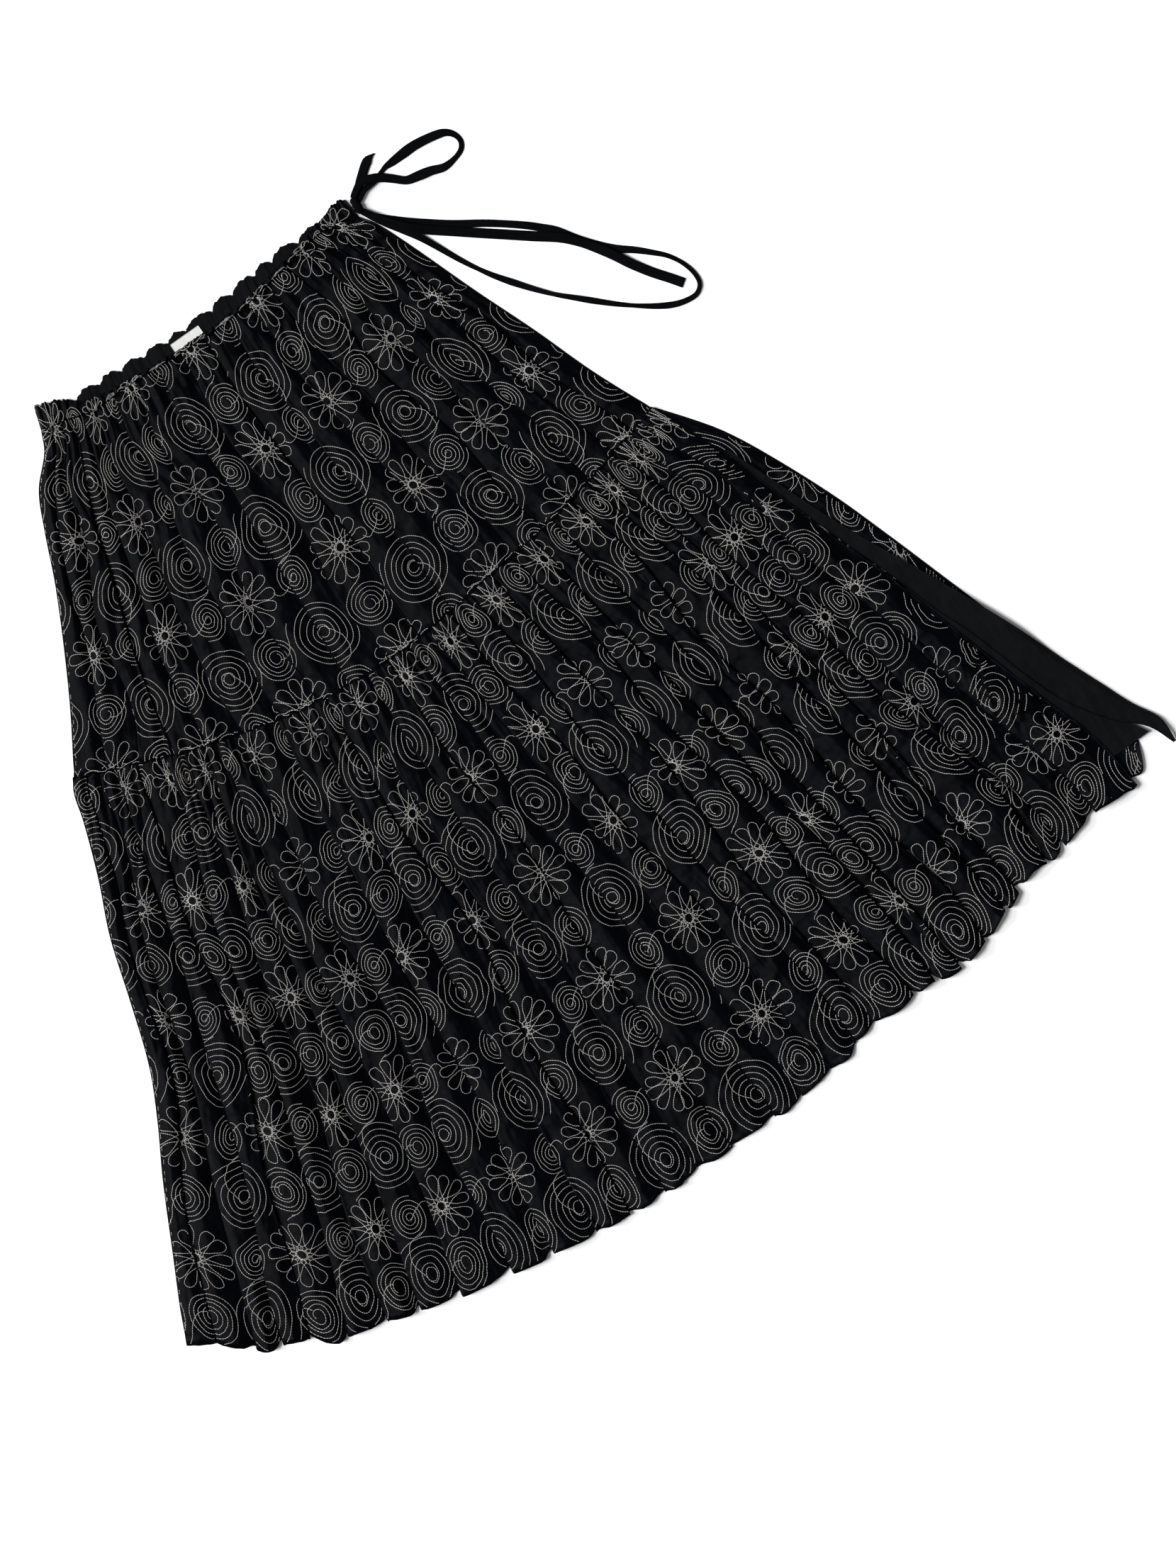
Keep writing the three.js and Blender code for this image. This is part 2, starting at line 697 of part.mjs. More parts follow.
function backWaistFrill() {
  const dips = [1, 0.2, 0, 0.2];
  const crests = [0, 0.75, 1, 0.75];
  const columns = evenly(dips.length * backFrill.scallops).map((share, i) => {
    const step = i % dips.length;
    return { share, dip: dips[step], crest: crests[step] };
  });
  const onPanel = patch({ above: backFrillTop, below: backGatherLine, ...backFrillEnds });
  const face = ({ share, dip, crest }, g) => {
    const { across, down } = onPanel(share, g);
    // Pressed flat under the label
    const pressed = across > labelPress.from && across < labelPress.to ? labelPress.wave : 1;
    const wave = backFrill.wave * crest * pressed * mix(1, 0.4, g);
    return { across, down: down + backFrill.scallop * dip * (1 - g) ** 2, up: frillWall + wave };
  };
  return clothPiece({
    name: "waist_frill_back",
    columns,
    rows: [0, 0.45, 1],
    wall: frillWall,
    face,
    material: plainCloth,
  });
}

function facing(name, outline, level) {
  const onPanel = patch(outline);
  const face = (f, g) => {
    const point = onPanel(f, g);
    return { ...point, up: facingWall + level(f, point) };
  };
  return clothPiece({
    name,
    columns: [0, 0.35, 0.7, 0.9, 1],
    rows: evenly(12),
    wall: facingWall,
    face,
    material: plainCloth,
  });
}

const frontSlitFacing = () => facing("slit_facing_front", frontFacing, () => frontFacingLevel);

// The upper facing climbs onto the lower one, and its free edge turns down to the surface
function sideSlitFacing() {
  const level = (f, { down }) => {
    const climb = ease((down - frontFacingStart + 2 * slitLift.length) / slitLift.length);
    const height = mix(frontFacingLevel, sideFacingLevel, climb);
    const drop = (down - sideFacingDrop.start) / (sideFacingDrop.end - sideFacingDrop.start);
    return f === 1 ? mix(height, seamGap, ease(drop)) : height;
  };
  return facing("slit_facing_side", sideFacing, level);
}

function blankLabel() {
  const geometry = new THREE.BoxGeometry(label.width, label.length, label.thick);
  const mesh = named("label_blank", geometry, labelCloth);
  const crest = frillWall + backFrill.wave * labelPress.wave;
  mesh.position.copy(place({ ...label, up: crest + seamGap + label.thick / 2 }));
  mesh.rotation.z = THREE.MathUtils.degToRad(label.tilt);
  return mesh;
}

function drawstringKnot() {
  const geometry = new THREE.SphereGeometry(1, knot.around, knot.rings);
  geometry.scale(knot.halfWidth, knot.halfLength, knot.halfHeight);
  const mesh = named("drawstring_knot", geometry, tapeCloth);
  mesh.position.copy(place(knot));
  return mesh;
}

// A flat tape along a route, its section an ellipse of eight sides
function tapeStretch(name, route, width) {
  const path = new THREE.CatmullRomCurve3(route.map(place));
  const section = new THREE.Shape();
  for (let side = 0; side < tape.sides; side += 1) {
    const angle = ((side + 0.5) * 2 * Math.PI) / tape.sides;
    const reach = 1 / Math.cos(Math.PI / tape.sides);
    const x = (reach * tape.thick * Math.cos(angle)) / 2;
    const y = (reach * width * Math.sin(angle)) / 2;
    if (side === 0) section.moveTo(x, y);
    else section.lineTo(x, y);
  }
  const steps = Math.ceil(path.getLength() / tape.step);
  const geometry = new THREE.ExtrudeGeometry(section, { steps, extrudePath: path, bevelEnabled: false });
  return named(name, geometry, tapeCloth);
}

const skirt = new THREE.Group();
skirt.add(
  frontUpper(),
  frontLower(),
  backUpper(),
  backLower(),
  sideLower(),
  frontWaistFrill(),
  backWaistFrill(),
  frontSlitFacing(),
  sideSlitFacing(),
  blankLabel(),
  drawstringKnot(),
  tapeStretch("drawstring_short_loop", shortLoopRoute, tape.loopWidth),
  tapeStretch("drawstring_short_end", shortEndRoute, tape.endWidth),
  tapeStretch("drawstring_long_loop", longLoopRoute, tape.loopWidth),
  tapeStretch("drawstring_long_end", longEndRoute, tape.endWidth),
);

export default skirt;
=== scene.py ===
# A long pleated skirt in two tiers with stitched spirals and daisies, laid flat, front up.
# Tables are in millimetres of the garment: across from the waist's middle, down from the waist.
import bpy
import numpy as np
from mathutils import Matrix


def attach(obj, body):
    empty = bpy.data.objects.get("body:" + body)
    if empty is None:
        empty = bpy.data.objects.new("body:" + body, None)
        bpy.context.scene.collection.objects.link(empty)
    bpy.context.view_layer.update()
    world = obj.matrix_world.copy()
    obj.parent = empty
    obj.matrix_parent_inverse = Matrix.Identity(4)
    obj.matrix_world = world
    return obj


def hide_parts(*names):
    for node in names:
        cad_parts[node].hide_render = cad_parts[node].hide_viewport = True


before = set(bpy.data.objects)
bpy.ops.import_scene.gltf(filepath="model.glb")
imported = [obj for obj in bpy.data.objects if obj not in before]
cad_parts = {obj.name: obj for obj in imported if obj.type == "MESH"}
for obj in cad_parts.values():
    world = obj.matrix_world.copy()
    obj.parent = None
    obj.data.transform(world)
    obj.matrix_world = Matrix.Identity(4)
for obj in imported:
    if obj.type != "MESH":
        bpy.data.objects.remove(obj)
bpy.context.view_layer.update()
print("frame loaded:", len(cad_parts), "nodes")

# Camera, straight above as in the photograph
cameraView = {"across": 79.5, "down": 560.8, "height": 4.0, "lens": 100, "turn": -31.67}
garmentOrigin = (27.5, 452.81)


def toFrame(points):  # from garment millimetres (across, down, up) to the shared frame in metres
    points = np.asarray(points, float)
    return np.stack([points[..., 0] - garmentOrigin[0], garmentOrigin[1] - points[..., 1],
                     points[..., 2]], -1) / 1000


camera = bpy.data.objects.new("camera", bpy.data.cameras.new("camera"))
bpy.context.scene.collection.objects.link(camera)
camera.data.lens = cameraView["lens"]
camera.data.sensor_width = 36
camera.data.clip_start, camera.data.clip_end = 0.05, 20
camera.location = (*toFrame((cameraView["across"], cameraView["down"], 0))[:2], cameraView["height"])
camera.rotation_euler = (0, 0, np.radians(cameraView["turn"]))
bpy.context.scene.camera = camera


# Meshes from grids of points
def unit(vectors):
    return vectors / np.maximum(np.linalg.norm(vectors, axis=-1, keepdims=True), 1e-12)


def makePiece(name, points, groups, cloth):  # groups: arrays of faces
    mesh = bpy.data.meshes.new(name)
    points = toFrame(points).reshape(-1, 3)
    mesh.vertices.add(len(points))
    mesh.vertices.foreach_set("co", points.astype(np.float32).ravel())
    sizes = np.concatenate([np.full(len(g), g.shape[1]) for g in groups])
    mesh.loops.add(int(sizes.sum()))
    mesh.loops.foreach_set("vertex_index", np.concatenate([g.ravel() for g in groups]).astype(np.int32))
    mesh.polygons.add(len(sizes))
    mesh.polygons.foreach_set("loop_start", np.concatenate([[0], np.cumsum(sizes)[:-1]]).astype(np.int32))
    mesh.update(calc_edges=True)
    mesh.polygons.foreach_set("use_smooth", np.ones(len(sizes), bool))
    place = mesh.attributes.new("clothPlace", "FLOAT_VECTOR", "POINT")  # for weave that follows the cloth
    flat = np.zeros((len(points), 3), np.float32)
    flat[:, :cloth.shape[-1]] = cloth.reshape(-1, cloth.shape[-1]) / 1000
    place.data.foreach_set("vector", flat.ravel())
    piece = bpy.data.objects.new(name, mesh)
    bpy.context.scene.collection.objects.link(piece)
    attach(piece, "root")
    return piece


def gridFaces(rows, columns, offset=0, flip=False, around=False):
    across = np.arange(columns if around else columns - 1)
    down = np.arange(rows - 1)[:, None] * columns + offset
    here, after = down + across, down + (across + 1) % columns
    faces = np.stack([here, here + columns, after + columns, after], -1).reshape(-1, 4)
    return faces[:, ::-1] if flip else faces


def outward(grid):  # unit normals of a grid in garment millimetres, where down points against y
    a, b = np.gradient(grid, axis=0), np.gradient(grid, axis=1)
    a, b = a * [1, -1, 1], b * [1, -1, 1]
    return unit(np.cross(a, b)) * [1, -1, 1]


def clothShell(name, grid, wall, cloth, lowest=0.12):  # a closed thin wall under a grid
    rows, columns = grid.shape[:2]
    inner = grid - wall * outward(grid)
    inner[..., 2] = np.maximum(inner[..., 2], lowest)
    count = rows * columns
    index = np.arange(count).reshape(rows, columns)
    rim = np.concatenate([index[0, ::-1], index[1:, 0], index[-1, 1:], index[-2:0:-1, -1]])
    rim = np.stack([np.roll(rim, -1), rim, rim + count, np.roll(rim, -1) + count], -1)[:, ::-1]
    groups = [gridFaces(rows, columns), gridFaces(rows, columns, count, True), rim]
    return makePiece(name, np.concatenate([grid.reshape(-1, 3), inner.reshape(-1, 3)]), groups,
                     np.concatenate([cloth.reshape(-1, 2)] * 2))


def ease(f):
    f = np.clip(f, 0, 1)
    return f * f * (3 - 2 * f)


def mix(a, b, f):
    return a + (b - a) * f


def smoothCurve(table, at):  # value at a place on the curve through (place, value) rows
    keys, values = np.array(table, float).T
    slopes = np.empty_like(values)
    slopes[1:-1] = (values[2:] - values[:-2]) / (keys[2:] - keys[:-2])
    slopes[0] = (values[1] - values[0]) / (keys[1] - keys[0])
    slopes[-1] = (values[-1] - values[-2]) / (keys[-1] - keys[-2])
    i = np.clip(np.searchsorted(keys, at, side="left") - 1, 0, len(keys) - 2)
    span = keys[i + 1] - keys[i]
    f = np.clip((at - keys[i]) / span, 0, 1)
    return (values[i] * (1 + 2 * f) * (1 - f) ** 2 + slopes[i] * span * f * (1 - f) ** 2
            + values[i + 1] * f * f * (3 - 2 * f) - slopes[i + 1] * span * f * f * (1 - f))


def downAt(edge, across):
    return smoothCurve(edge, across)


def acrossAt(edge, down):
    return smoothCurve([(d, a) for a, d in edge], down)


def lowered(edge, by):
    return [(a, d + by) for a, d in edge]


def narrowed(edge, by):
    return [(a + by, d) for a, d in edge]


def patch(above, below, left, right, fade=1):  # (f, g) from 0 to 1 on a sheet between four edges
    def at(f, g):
        f, g = np.asarray(f, float), np.asarray(g, float)
        upper = mix(left[0][0], right[0][0], f)
        lower = mix(left[-1][0], right[-1][0], f)

        def bend(side):
            down = mix(side[0][1], side[-1][1], g)
            return acrossAt(side, down) - mix(side[0][0], side[-1][0], g)
        inside = np.clip(f, 0, 1)
        across = mix(upper, lower, g) + bend(left) * (1 - inside) ** fade + bend(right) * inside ** fade
        return across, mix(downAt(above, upper), downAt(below, lower), g)
    return at


def ripple(seed, count, shortest, longest, turn):  # smooth seeded noise of two coordinates
    rng = np.random.default_rng(seed)
    waves = rng.uniform(shortest, longest, count)
    angles = rng.normal(0, turn, count)
    phases = rng.uniform(0, 2 * np.pi, count)

    def at(s, t):
        total = 0
        for wave, angle, phase in zip(waves, angles, phases):
            total = total + np.sin(2 * np.pi * (s * np.cos(angle) + t * np.sin(angle)) / wave + phase)
        return total / np.sqrt(count / 2)
    return at


# Drawstring of flat tape, its four stretches on the routes of the solids
tapeLook = {"thick": 1.1, "every": 2.5, "section": 12, "edge": 0.45, "stitchedEdge": 0.86, "cup": 0.35,
            "cupWave": 23, "point": 0.12, "lowest": 0.08}
shortLoopRoute = [
    (183, -5.9, 3.4), (190, -10.4, 3.2), (197, -12, 2.6), (206.5, -14, 1.5), (216.7, -18.6, 0.8),
    (226.9, -19.8, 0.8), (238, -21, 0.8), (252, -22, 0.8), (269.6, -20.4, 0.8), (281.8, -17.2, 0.8),
    (288.6, -10, 0.8), (289.6, -1.5, 0.8), (283, 5.5, 0.8), (266, 9.4, 0.8), (252, 5.8, 0.8),
    (240, 3.8, 0.8), (228.5, 1.4, 0.8), (219.5, -5.5, 1.6), (210.6, -12, 3.2), (201, -16.6, 4.3),
    (191.5, -18.2, 5), (180.9, -12, 5.2),
]
shortEndRoute = [
    (183.4, -11, 1.6), (188.5, -16.6, 1.3), (196.5, -24, 0.8), (204, -30.4, 0.8), (210, -33.8, 0.8),
    (216.4, -35, 0.8),
]
longLoopRoute = [
    (180.3, 6.7, 1.4), (186.5, 14.6, 1), (196, 23.6, 0.8), (207, 32.6, 0.8), (222, 43.4, 0.8),
    (243, 57.5, 0.8), (267.4, 71.8, 0.8), (283, 82, 0.8), (300, 94.2, 0.8), (312, 104.4, 0.8),
    (321.5, 113.4, 0.8), (332.6, 128.5, 0.8), (344.8, 142.7, 0.8), (358, 155, 0.8),
    (373.3, 166, 0.8), (386, 176.6, 0.8), (396.4, 186.4, 0.8), (404, 198, 0.8), (408.6, 211, 0.8),
    (408.4, 223, 0.8), (401.5, 229.8, 0.8), (392, 230.6, 0.8), (379.4, 228, 0.8),
    (365.2, 221.4, 0.8), (348.9, 211.2, 0.8), (334.7, 200.8, 0.8), (320.4, 189, 0.8),
    (304.2, 175, 0.8), (289.9, 162.4, 0.8), (275.7, 147.8, 0.8), (261.4, 131.3, 0.8),
    (249.6, 116.6, 0.8), (239.4, 101.6, 0.8), (231.4, 88.2, 0.8), (224, 74.6, 0.8),
    (216.9, 61.6, 1.4), (210.2, 50.6, 2.6), (202.4, 39.6, 2.6), (193.6, 28, 2.6),
    (186.6, 17.8, 2.8), (180.7, 7.6, 3),
]
longEndRoute = [
    (180.5, 7, 4.6), (186.6, 16.2, 4.5), (195.6, 28, 4.4), (207, 39.4, 4.3), (221, 50.4, 2.9),
    (241.2, 64.6, 2.2), (261.4, 78.8, 1), (281.8, 93, 0.8), (302, 107.3, 1.2), (320.5, 120.2, 2.7),
    (334.7, 133.6, 2.9), (344.8, 146.4, 2.9), (355, 161, 2.9), (363.8, 175, 2), (375.5, 190.8, 0.8),
    (387.5, 205, 0.8), (396, 215.6, 0.8),
]


def throughPoints(route, every):  # a smooth line through the points, in even steps
    points = np.array(route, float)
    ends = np.concatenate([[2 * points[0] - points[1]], points, [2 * points[-1] - points[-2]]])
    f = np.linspace(0, 1, 12, endpoint=False)[:, None]
    line = []
    for a, b, c, d in zip(ends, ends[1:], ends[2:], ends[3:]):
        line.append(0.5 * (2 * b + (c - a) * f + (2 * a - 5 * b + 4 * c - d) * f ** 2
                           + (3 * b - a - 3 * c + d) * f ** 3))
    line = np.concatenate([*line, points[-1:]])
    far = np.concatenate([[0], np.cumsum(np.linalg.norm(np.diff(line, axis=0), axis=1))])
    steps = np.linspace(0, far[-1], int(far[-1] / every) + 1)
    return np.stack([np.interp(steps, far, line[:, i]) for i in range(3)], -1), steps


def makeTape(name, route, widths, rolls, pointed=0, start=None, end=None):
    # widths and rolls are (share of length, value); start and end lie in the knot
    route = [*([start] if start else []), *route, *([end] if end else [])]
    line, far = throughPoints(route, tapeLook["every"])
    share = far / far[-1]
    width = np.interp(share, *np.array(widths, float).T)
    roll = np.radians(np.interp(share, *np.array(rolls, float).T))
    if pointed:
        width = width * np.clip((far[-1] - far) / pointed, tapeLook["point"], 1)
    along = unit(np.gradient(line, axis=0) * [1, 1, 0])
    side = np.stack([-along[:, 1], along[:, 0], 0 * roll], -1)
    tilted = side * np.cos(roll)[:, None] + np.array([0, 0, 1]) * np.sin(roll)[:, None]
    over = np.array([0, 0, 1]) * np.cos(roll)[:, None] - side * np.sin(roll)[:, None]
    half = tapeLook["section"] // 2
    out = np.concatenate([np.linspace(-1, 1, half), np.linspace(1, -1, half)])
    rise = np.repeat([1.0, -1.0], half) * np.where(np.abs(out) > 0.99, tapeLook["edge"], 1)
    rise = rise * np.where((np.abs(out) > 0.5) & (np.abs(out) < 0.9), tapeLook["stitchedEdge"], 1)
    cup = tapeLook["cup"] * np.sin(far / tapeLook["cupWave"])[:, None] * out ** 2
    ring = (line[:, None] + tilted[:, None] * (out * width[:, None] / 2)[..., None]
            + over[:, None] * (rise * tapeLook["thick"] / 2 + np.abs(cup))[..., None])
    ring[..., 2] = np.maximum(ring[..., 2], tapeLook["lowest"] + 0.25 * (rise + 1))
    rows, columns = ring.shape[:2]
    first, last = np.arange(columns)[None, ::-1], np.arange(columns)[None] + (rows - 1) * columns
    cloth = np.stack([np.broadcast_to(out * width[:, None] / 2, (rows, columns)),
                      np.broadcast_to(far[:, None], (rows, columns))], -1)
    piece = makePiece(name, ring, [gridFaces(rows, columns, around=True, flip=True), first, last], cloth)
    return piece, toFrame(line), far[-1] / 1000


shortLoop, shortPath, shortLength = makeTape(
    "tape_short_loop", shortLoopRoute,
    [(0, 5), (0.1, 6.2), (0.15, 3.8), (0.2, 7.6), (0.26, 9.6), (0.4, 8.2), (0.47, 5.2), (0.56, 4.8),
     (0.62, 7.6), (0.7, 9.6), (0.78, 7.6), (0.88, 8.6), (1, 5.5)],
    [(0, 8), (0.12, 14), (0.16, -12), (0.3, 0), (0.5, 14), (0.62, 0), (0.7, -10), (0.76, 8), (1, -10)],
    start=(179.6, -4.6, 3.6), end=(178.4, -9.6, 4.6))
shortEnd, _, shortEndLength = makeTape(
    "tape_short_end", shortEndRoute, [(0, 5), (0.35, 8.4), (1, 9)], [(0, 6), (0.5, 0), (1, 0)], pointed=9,
    start=(179.8, -6.4, 2.4))
longLoop, longPath, longLength = makeTape(
    "tape_long_loop", longLoopRoute,
    [(0, 6), (0.05, 8), (0.2, 6.8), (0.33, 8.4), (0.4, 6), (0.45, 4.2), (0.5, 4.4), (0.55, 6.2), (0.6, 4.4),
     (0.66, 6), (0.71, 4.2), (0.77, 6.4), (0.82, 4.4), (0.88, 5.8), (0.93, 7), (1, 6)],
    [(0, 8), (0.1, 0), (0.36, 0), (0.43, 26), (0.5, -18), (0.55, 6), (0.6, -24), (0.66, 4), (0.71, 24),
     (0.77, 0), (0.82, -20), (0.88, 8), (1, 6)],
    start=(178.3, 3.4, 2.2), end=(178.6, 4.4, 3.4))
longEnd, endPath, endLength = makeTape(
    "tape_long_end", longEndRoute, [(0, 6), (0.08, 9), (0.5, 9.4), (1, 9.2)], [(0, 5), (0.2, 0), (1, 0)],
    start=(178, 3.4, 4.6))
for piece, node in ((shortLoop, "drawstring_short_loop"), (shortEnd, "drawstring_short_end"),
                    (longLoop, "drawstring_long_loop"), (longEnd, "drawstring_long_end")):
    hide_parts(node)
print("drawstring lengths:", [round(x, 3) for x in (shortLength, shortEndLength, longLength, endLength)])

# Knot of the bow: the tape wrapped round itself
knotShape = {"across": 177.6, "down": -2.3, "up": 3.7, "half": (4.5, 9, 3.5), "around": 48, "rings": 48,
             "blunt": 0.62, "folds": 0.1, "skew": 0.04,
             "wraps": ((0.16, 0.35, 0.25, 0, 0.08),  # depth, place, its sway across and up, width
                       (0.13, -0.4, 0, -0.2, 0.07))}


def makeKnot():
    turn = np.linspace(0, 2 * np.pi, knotShape["around"], endpoint=False)
    f = np.linspace(0.02, 0.98, knotShape["rings"])[:, None] * np.pi
    wide, long, high = knotShape["half"]
    body = np.sin(f) ** knotShape["blunt"]
    body = body * (1 - knotShape["folds"] * np.abs(np.sin(2.5 * f + 0.6 * np.sin(turn))) ** 6)
    for depth, place, swayAcross, swayUp, narrow in knotShape["wraps"]:
        groove = np.cos(f) - place - swayAcross * np.cos(turn) - swayUp * np.sin(turn)
        body = body * (1 - depth * np.exp(-(groove / narrow) ** 2))
    skew = 1 - knotShape["skew"] * (1 - np.cos(turn))
    points = np.stack([knotShape["across"] + wide * body * np.cos(turn),
                       knotShape["down"] + long * np.cos(f) * skew,
                       knotShape["up"] + high * body * np.sin(turn)], -1)
    rows, columns = points.shape[:2]
    ends = [np.arange(columns)[None], np.arange(columns)[None, ::-1] + (rows - 1) * columns]
    cloth = np.stack(np.broadcast_arrays(turn * wide, f * long), -1)
    return makePiece("tape_knot", points, [gridFaces(rows, columns, around=True), *ends], cloth)


knot = makeKnot()
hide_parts("drawstring_knot")


# Outlines of the cloth, the same as the solids have
frontGatherLine = [
    (-178, 22), (-152, 25), (-128, 31), (-90, 28), (0, 27), (55, 20), (116, 5), (146, 1), (174, 7),
]
frontFrillTop = [
    (-172, -1), (-158, 4), (-146, 7), (-136, 14), (-118, 22), (-90, 24), (0, 23.5), (55, 16),
    (116, 0), (140, -8), (160, -14), (172, -12),
]
backGatherLine = [
    (-171, 19), (-128, 27), (-60, 27), (0, 26), (55, 19), (116, 4), (146, 0), (167, 4),
]
backFrillTop = [
    (-165, 6), (-136, 9), (-104, 8.5), (-30, 9), (5, 6), (42, 1.5), (72, -3), (100, -6.5),
    (126, -8), (146, -10.5), (164, -9),
]
tierSeam = [
    (-320, 309), (-265, 327), (-212, 344), (-108, 365), (-4, 367), (100, 351), (178, 337),
    (257, 315), (311, 298),
]
backHem = [
    (-495, 796), (-382, 864), (-177, 900), (-87, 908), (148, 888), (316, 859), (406, 833),
    (470, 818), (510, 812), (521, 792),
]
sideTop = [(309, 298.6), (313, 298.6)]
sideHem = [(488, 816), (508, 818), (520, 817), (531, 792)]
upperLeftEdge = [
    (-178, 22), (-186, 40), (-208, 66), (-223, 100), (-243, 153), (-283, 240), (-320, 309),
]
upperRightEdge = [
    (174, 7), (184, 20), (200, 53), (229, 120), (256.5, 180), (282, 240), (311, 298),
]
lowerLeftEdge = [
    (-320, 309), (-327, 322), (-333, 348), (-349, 400), (-368, 451), (-383, 510), (-399.5, 570),
    (-419, 616), (-444, 666), (-473, 731), (-505, 802),
]
slitEdge = [
    (311, 298), (346, 371), (389, 484), (411, 535), (432, 594), (474, 707), (497, 766), (508, 823),
]
sideOutline = [
    (313, 298), (334, 322), (354.5, 348), (376, 384), (409.5, 451), (434, 510), (457.5, 570),
    (475.5, 616), (489, 652), (514, 724), (531, 792),
]
levels = {"rest": 1.9, "waist": 4.3, "waistLength": 45, "frontFacing": 4.4, "sideFacing": 5.7,
          "facingStart": 510, "facingClimb": 25, "slitOverlap": (2, 20), "fade": 4, "hemScallop": 8}

# Folds: valley's place on the edge above and below, ridge at mid length and at the end, where the
# crest lies from 0 to 1, and how far down the hem is
upperFolds = [
    (-178, -320, 3.2, 1.6, 0.6), (-167, -292, 4.6, 1.8, 0.4), (-157, -262, 3.4, 1.8, 0.5),
    (-147, -234, 3, 1.6, 0.6), (-138, -203, 6.2, 2.4, 0.3), (-124, -166, 3.4, 1.6, 0.5),
    (-104, -124, 4, 1.6, 0.35), (-80, -91, 2.8, 1.2, 0.5), (-56, -54, 3.2, 1.2, 0.4),
    (-31, -17, 2.6, 1.2, 0.6), (-6, 22, 3.4, 1.4, 0.45), (20, 60, 3, 1.2, 0.5),
    (44, 96, 3.6, 1.4, 0.4), (68, 132, 3, 1.4, 0.6), (92, 168, 4.2, 1.6, 0.5),
    (114, 202, 3.4, 1.6, 0.4), (132, 232, 4.6, 2, 0.6), (146, 259, 5.6, 2.2, 0.7),
    (158, 284, 3.6, 1.8, 0.4),
]
lowerFolds = [
    (-320, -505, 3.2, 2.6, 0.6, 814), (-307, -484, 4, 3.4, 0.5, 830),
    (-295, -455, 4.6, 4, 0.4, 850), (-280, -428, 5, 4, 0.5, 857), (-262, -403, 4.2, 5, 0.6, 876),
    (-236, -376, 7, 6, 0.3, 879), (-220, -340, 4.4, 5, 0.5, 889), (-205, -301, 4, 4, 0.4, 896),
    (-190, -264, 6, 4.2, 0.35, 903), (-168, -216, 4, 4.6, 0.5, 911),
    (-132, -173, 5.2, 7.2, 0.3, 914), (-106, -130, 4, 3.4, 0.6, 918),
    (-84, -90, 3.2, 2.6, 0.5, 919), (-62, -56, 3, 2.6, 0.4, 919), (-40, -22, 2.8, 2.4, 0.6, 916),
    (-18, 22, 3.2, 2.2, 0.5, 913), (6, 66, 2.6, 2.6, 0.4, 913), (30, 100, 3.2, 2.4, 0.5, 906),
    (54, 134, 3, 2.2, 0.6, 901), (78, 164, 3.6, 3.2, 0.5, 889), (104, 192, 4.2, 4.4, 0.6, 888),
    (130, 232, 6, 6.4, 0.7, 882), (154, 258, 4.6, 5, 0.5, 886), (178, 284, 5.2, 5.6, 0.6, 881),
    (202, 312, 6.4, 6, 0.7, 867), (224, 346, 4.6, 5.4, 0.5, 859), (242, 364, 6, 6.4, 0.65, 843),
    (260, 400, 4.4, 4.6, 0.4, 844), (276, 420, 4, 4, 0.5, 833), (292, 460, 3.6, 3.4, 0.4, 827),
]
foldsEnd = {"upper": (174, 311), "lower": (311, 508)}

# Place of each valley on the flat cloth, at some rows down the tier
upperClothRows = (0.012, 0.343, 0.674, 0.97)
upperCloth = [
    (-329, -349, -346, -353), (-316, -329, -321, -320), (-293, -308, -289, -283),
    (-264, -274, -257, -247), (-238, -240, -222, -207), (-199, -198, -182, -170),
    (-142, -151, -136, -127), (-88, -103, -96, -93), (-52, -65, -60, -57), (-15, -26, -23, -20),
    (21, 14, 16, 18), (57, 57, 56, 55), (90, 96, 94, 90), (128, 136, 133, 129),
    (170, 176, 173, 170), (210, 215, 210, 208), (264, 264, 256, 252), (307, 304, 295, 291),
    (325, 327, 325, 324), (344, 352, 353, 356),
]
lowerClothRows = (0.042, 0.2465, 0.451, 0.6555, 0.86)
lowerCloth = [
    (-64, -48, -38, -26, -27), (-46, -29, -18, -4, -2), (-30, -9, 7, 25, 30), (-10, 25, 41, 56, 61),
    (38, 73, 78, 87, 91), (124, 139, 131, 133, 129), (172, 188, 182, 187, 178),
    (215, 230, 231, 238, 232), (249, 266, 277, 283, 287), (299, 317, 336, 347, 356),
    (372, 378, 403, 418, 421), (424, 431, 458, 471, 473), (470, 492, 506, 518, 521),
    (515, 540, 545, 554, 556), (562, 578, 582, 589, 592), (610, 619, 624, 631, 635),
    (660, 662, 666, 673, 677), (710, 703, 703, 708, 711), (758, 745, 740, 743, 744),
    (805, 786, 776, 775, 774), (854, 830, 813, 807, 802), (903, 890, 872, 859, 848),
    (949, 941, 930, 916, 899), (1001, 987, 982, 973, 955), (1056, 1035, 1035, 1033, 1026),
    (1115, 1106, 1106, 1103, 1093), (1165, 1161, 1156, 1147, 1129), (1218, 1222, 1221, 1217, 1208),
    (1276, 1270, 1267, 1265, 1262), (1361, 1329, 1332, 1352, 1385), (1461, 1375, 1383, 1402, 1481),
]


def clothAtRows(table, at, rows):  # valley places on the cloth at every row, straight beyond the ends
    table = np.array(table, float)
    out = np.stack([np.interp(rows, at, valley) for valley in table], -1)
    for end, far in ((0, 1), (-1, -2)):
        beyond = (rows < at[0]) if end == 0 else (rows > at[-1])
        slope = (table[:, far] - table[:, end]) / (at[far] - at[end])
        out[beyond] = table[:, end] + (rows[beyond, None] - at[end]) * slope * 0.5
    return out


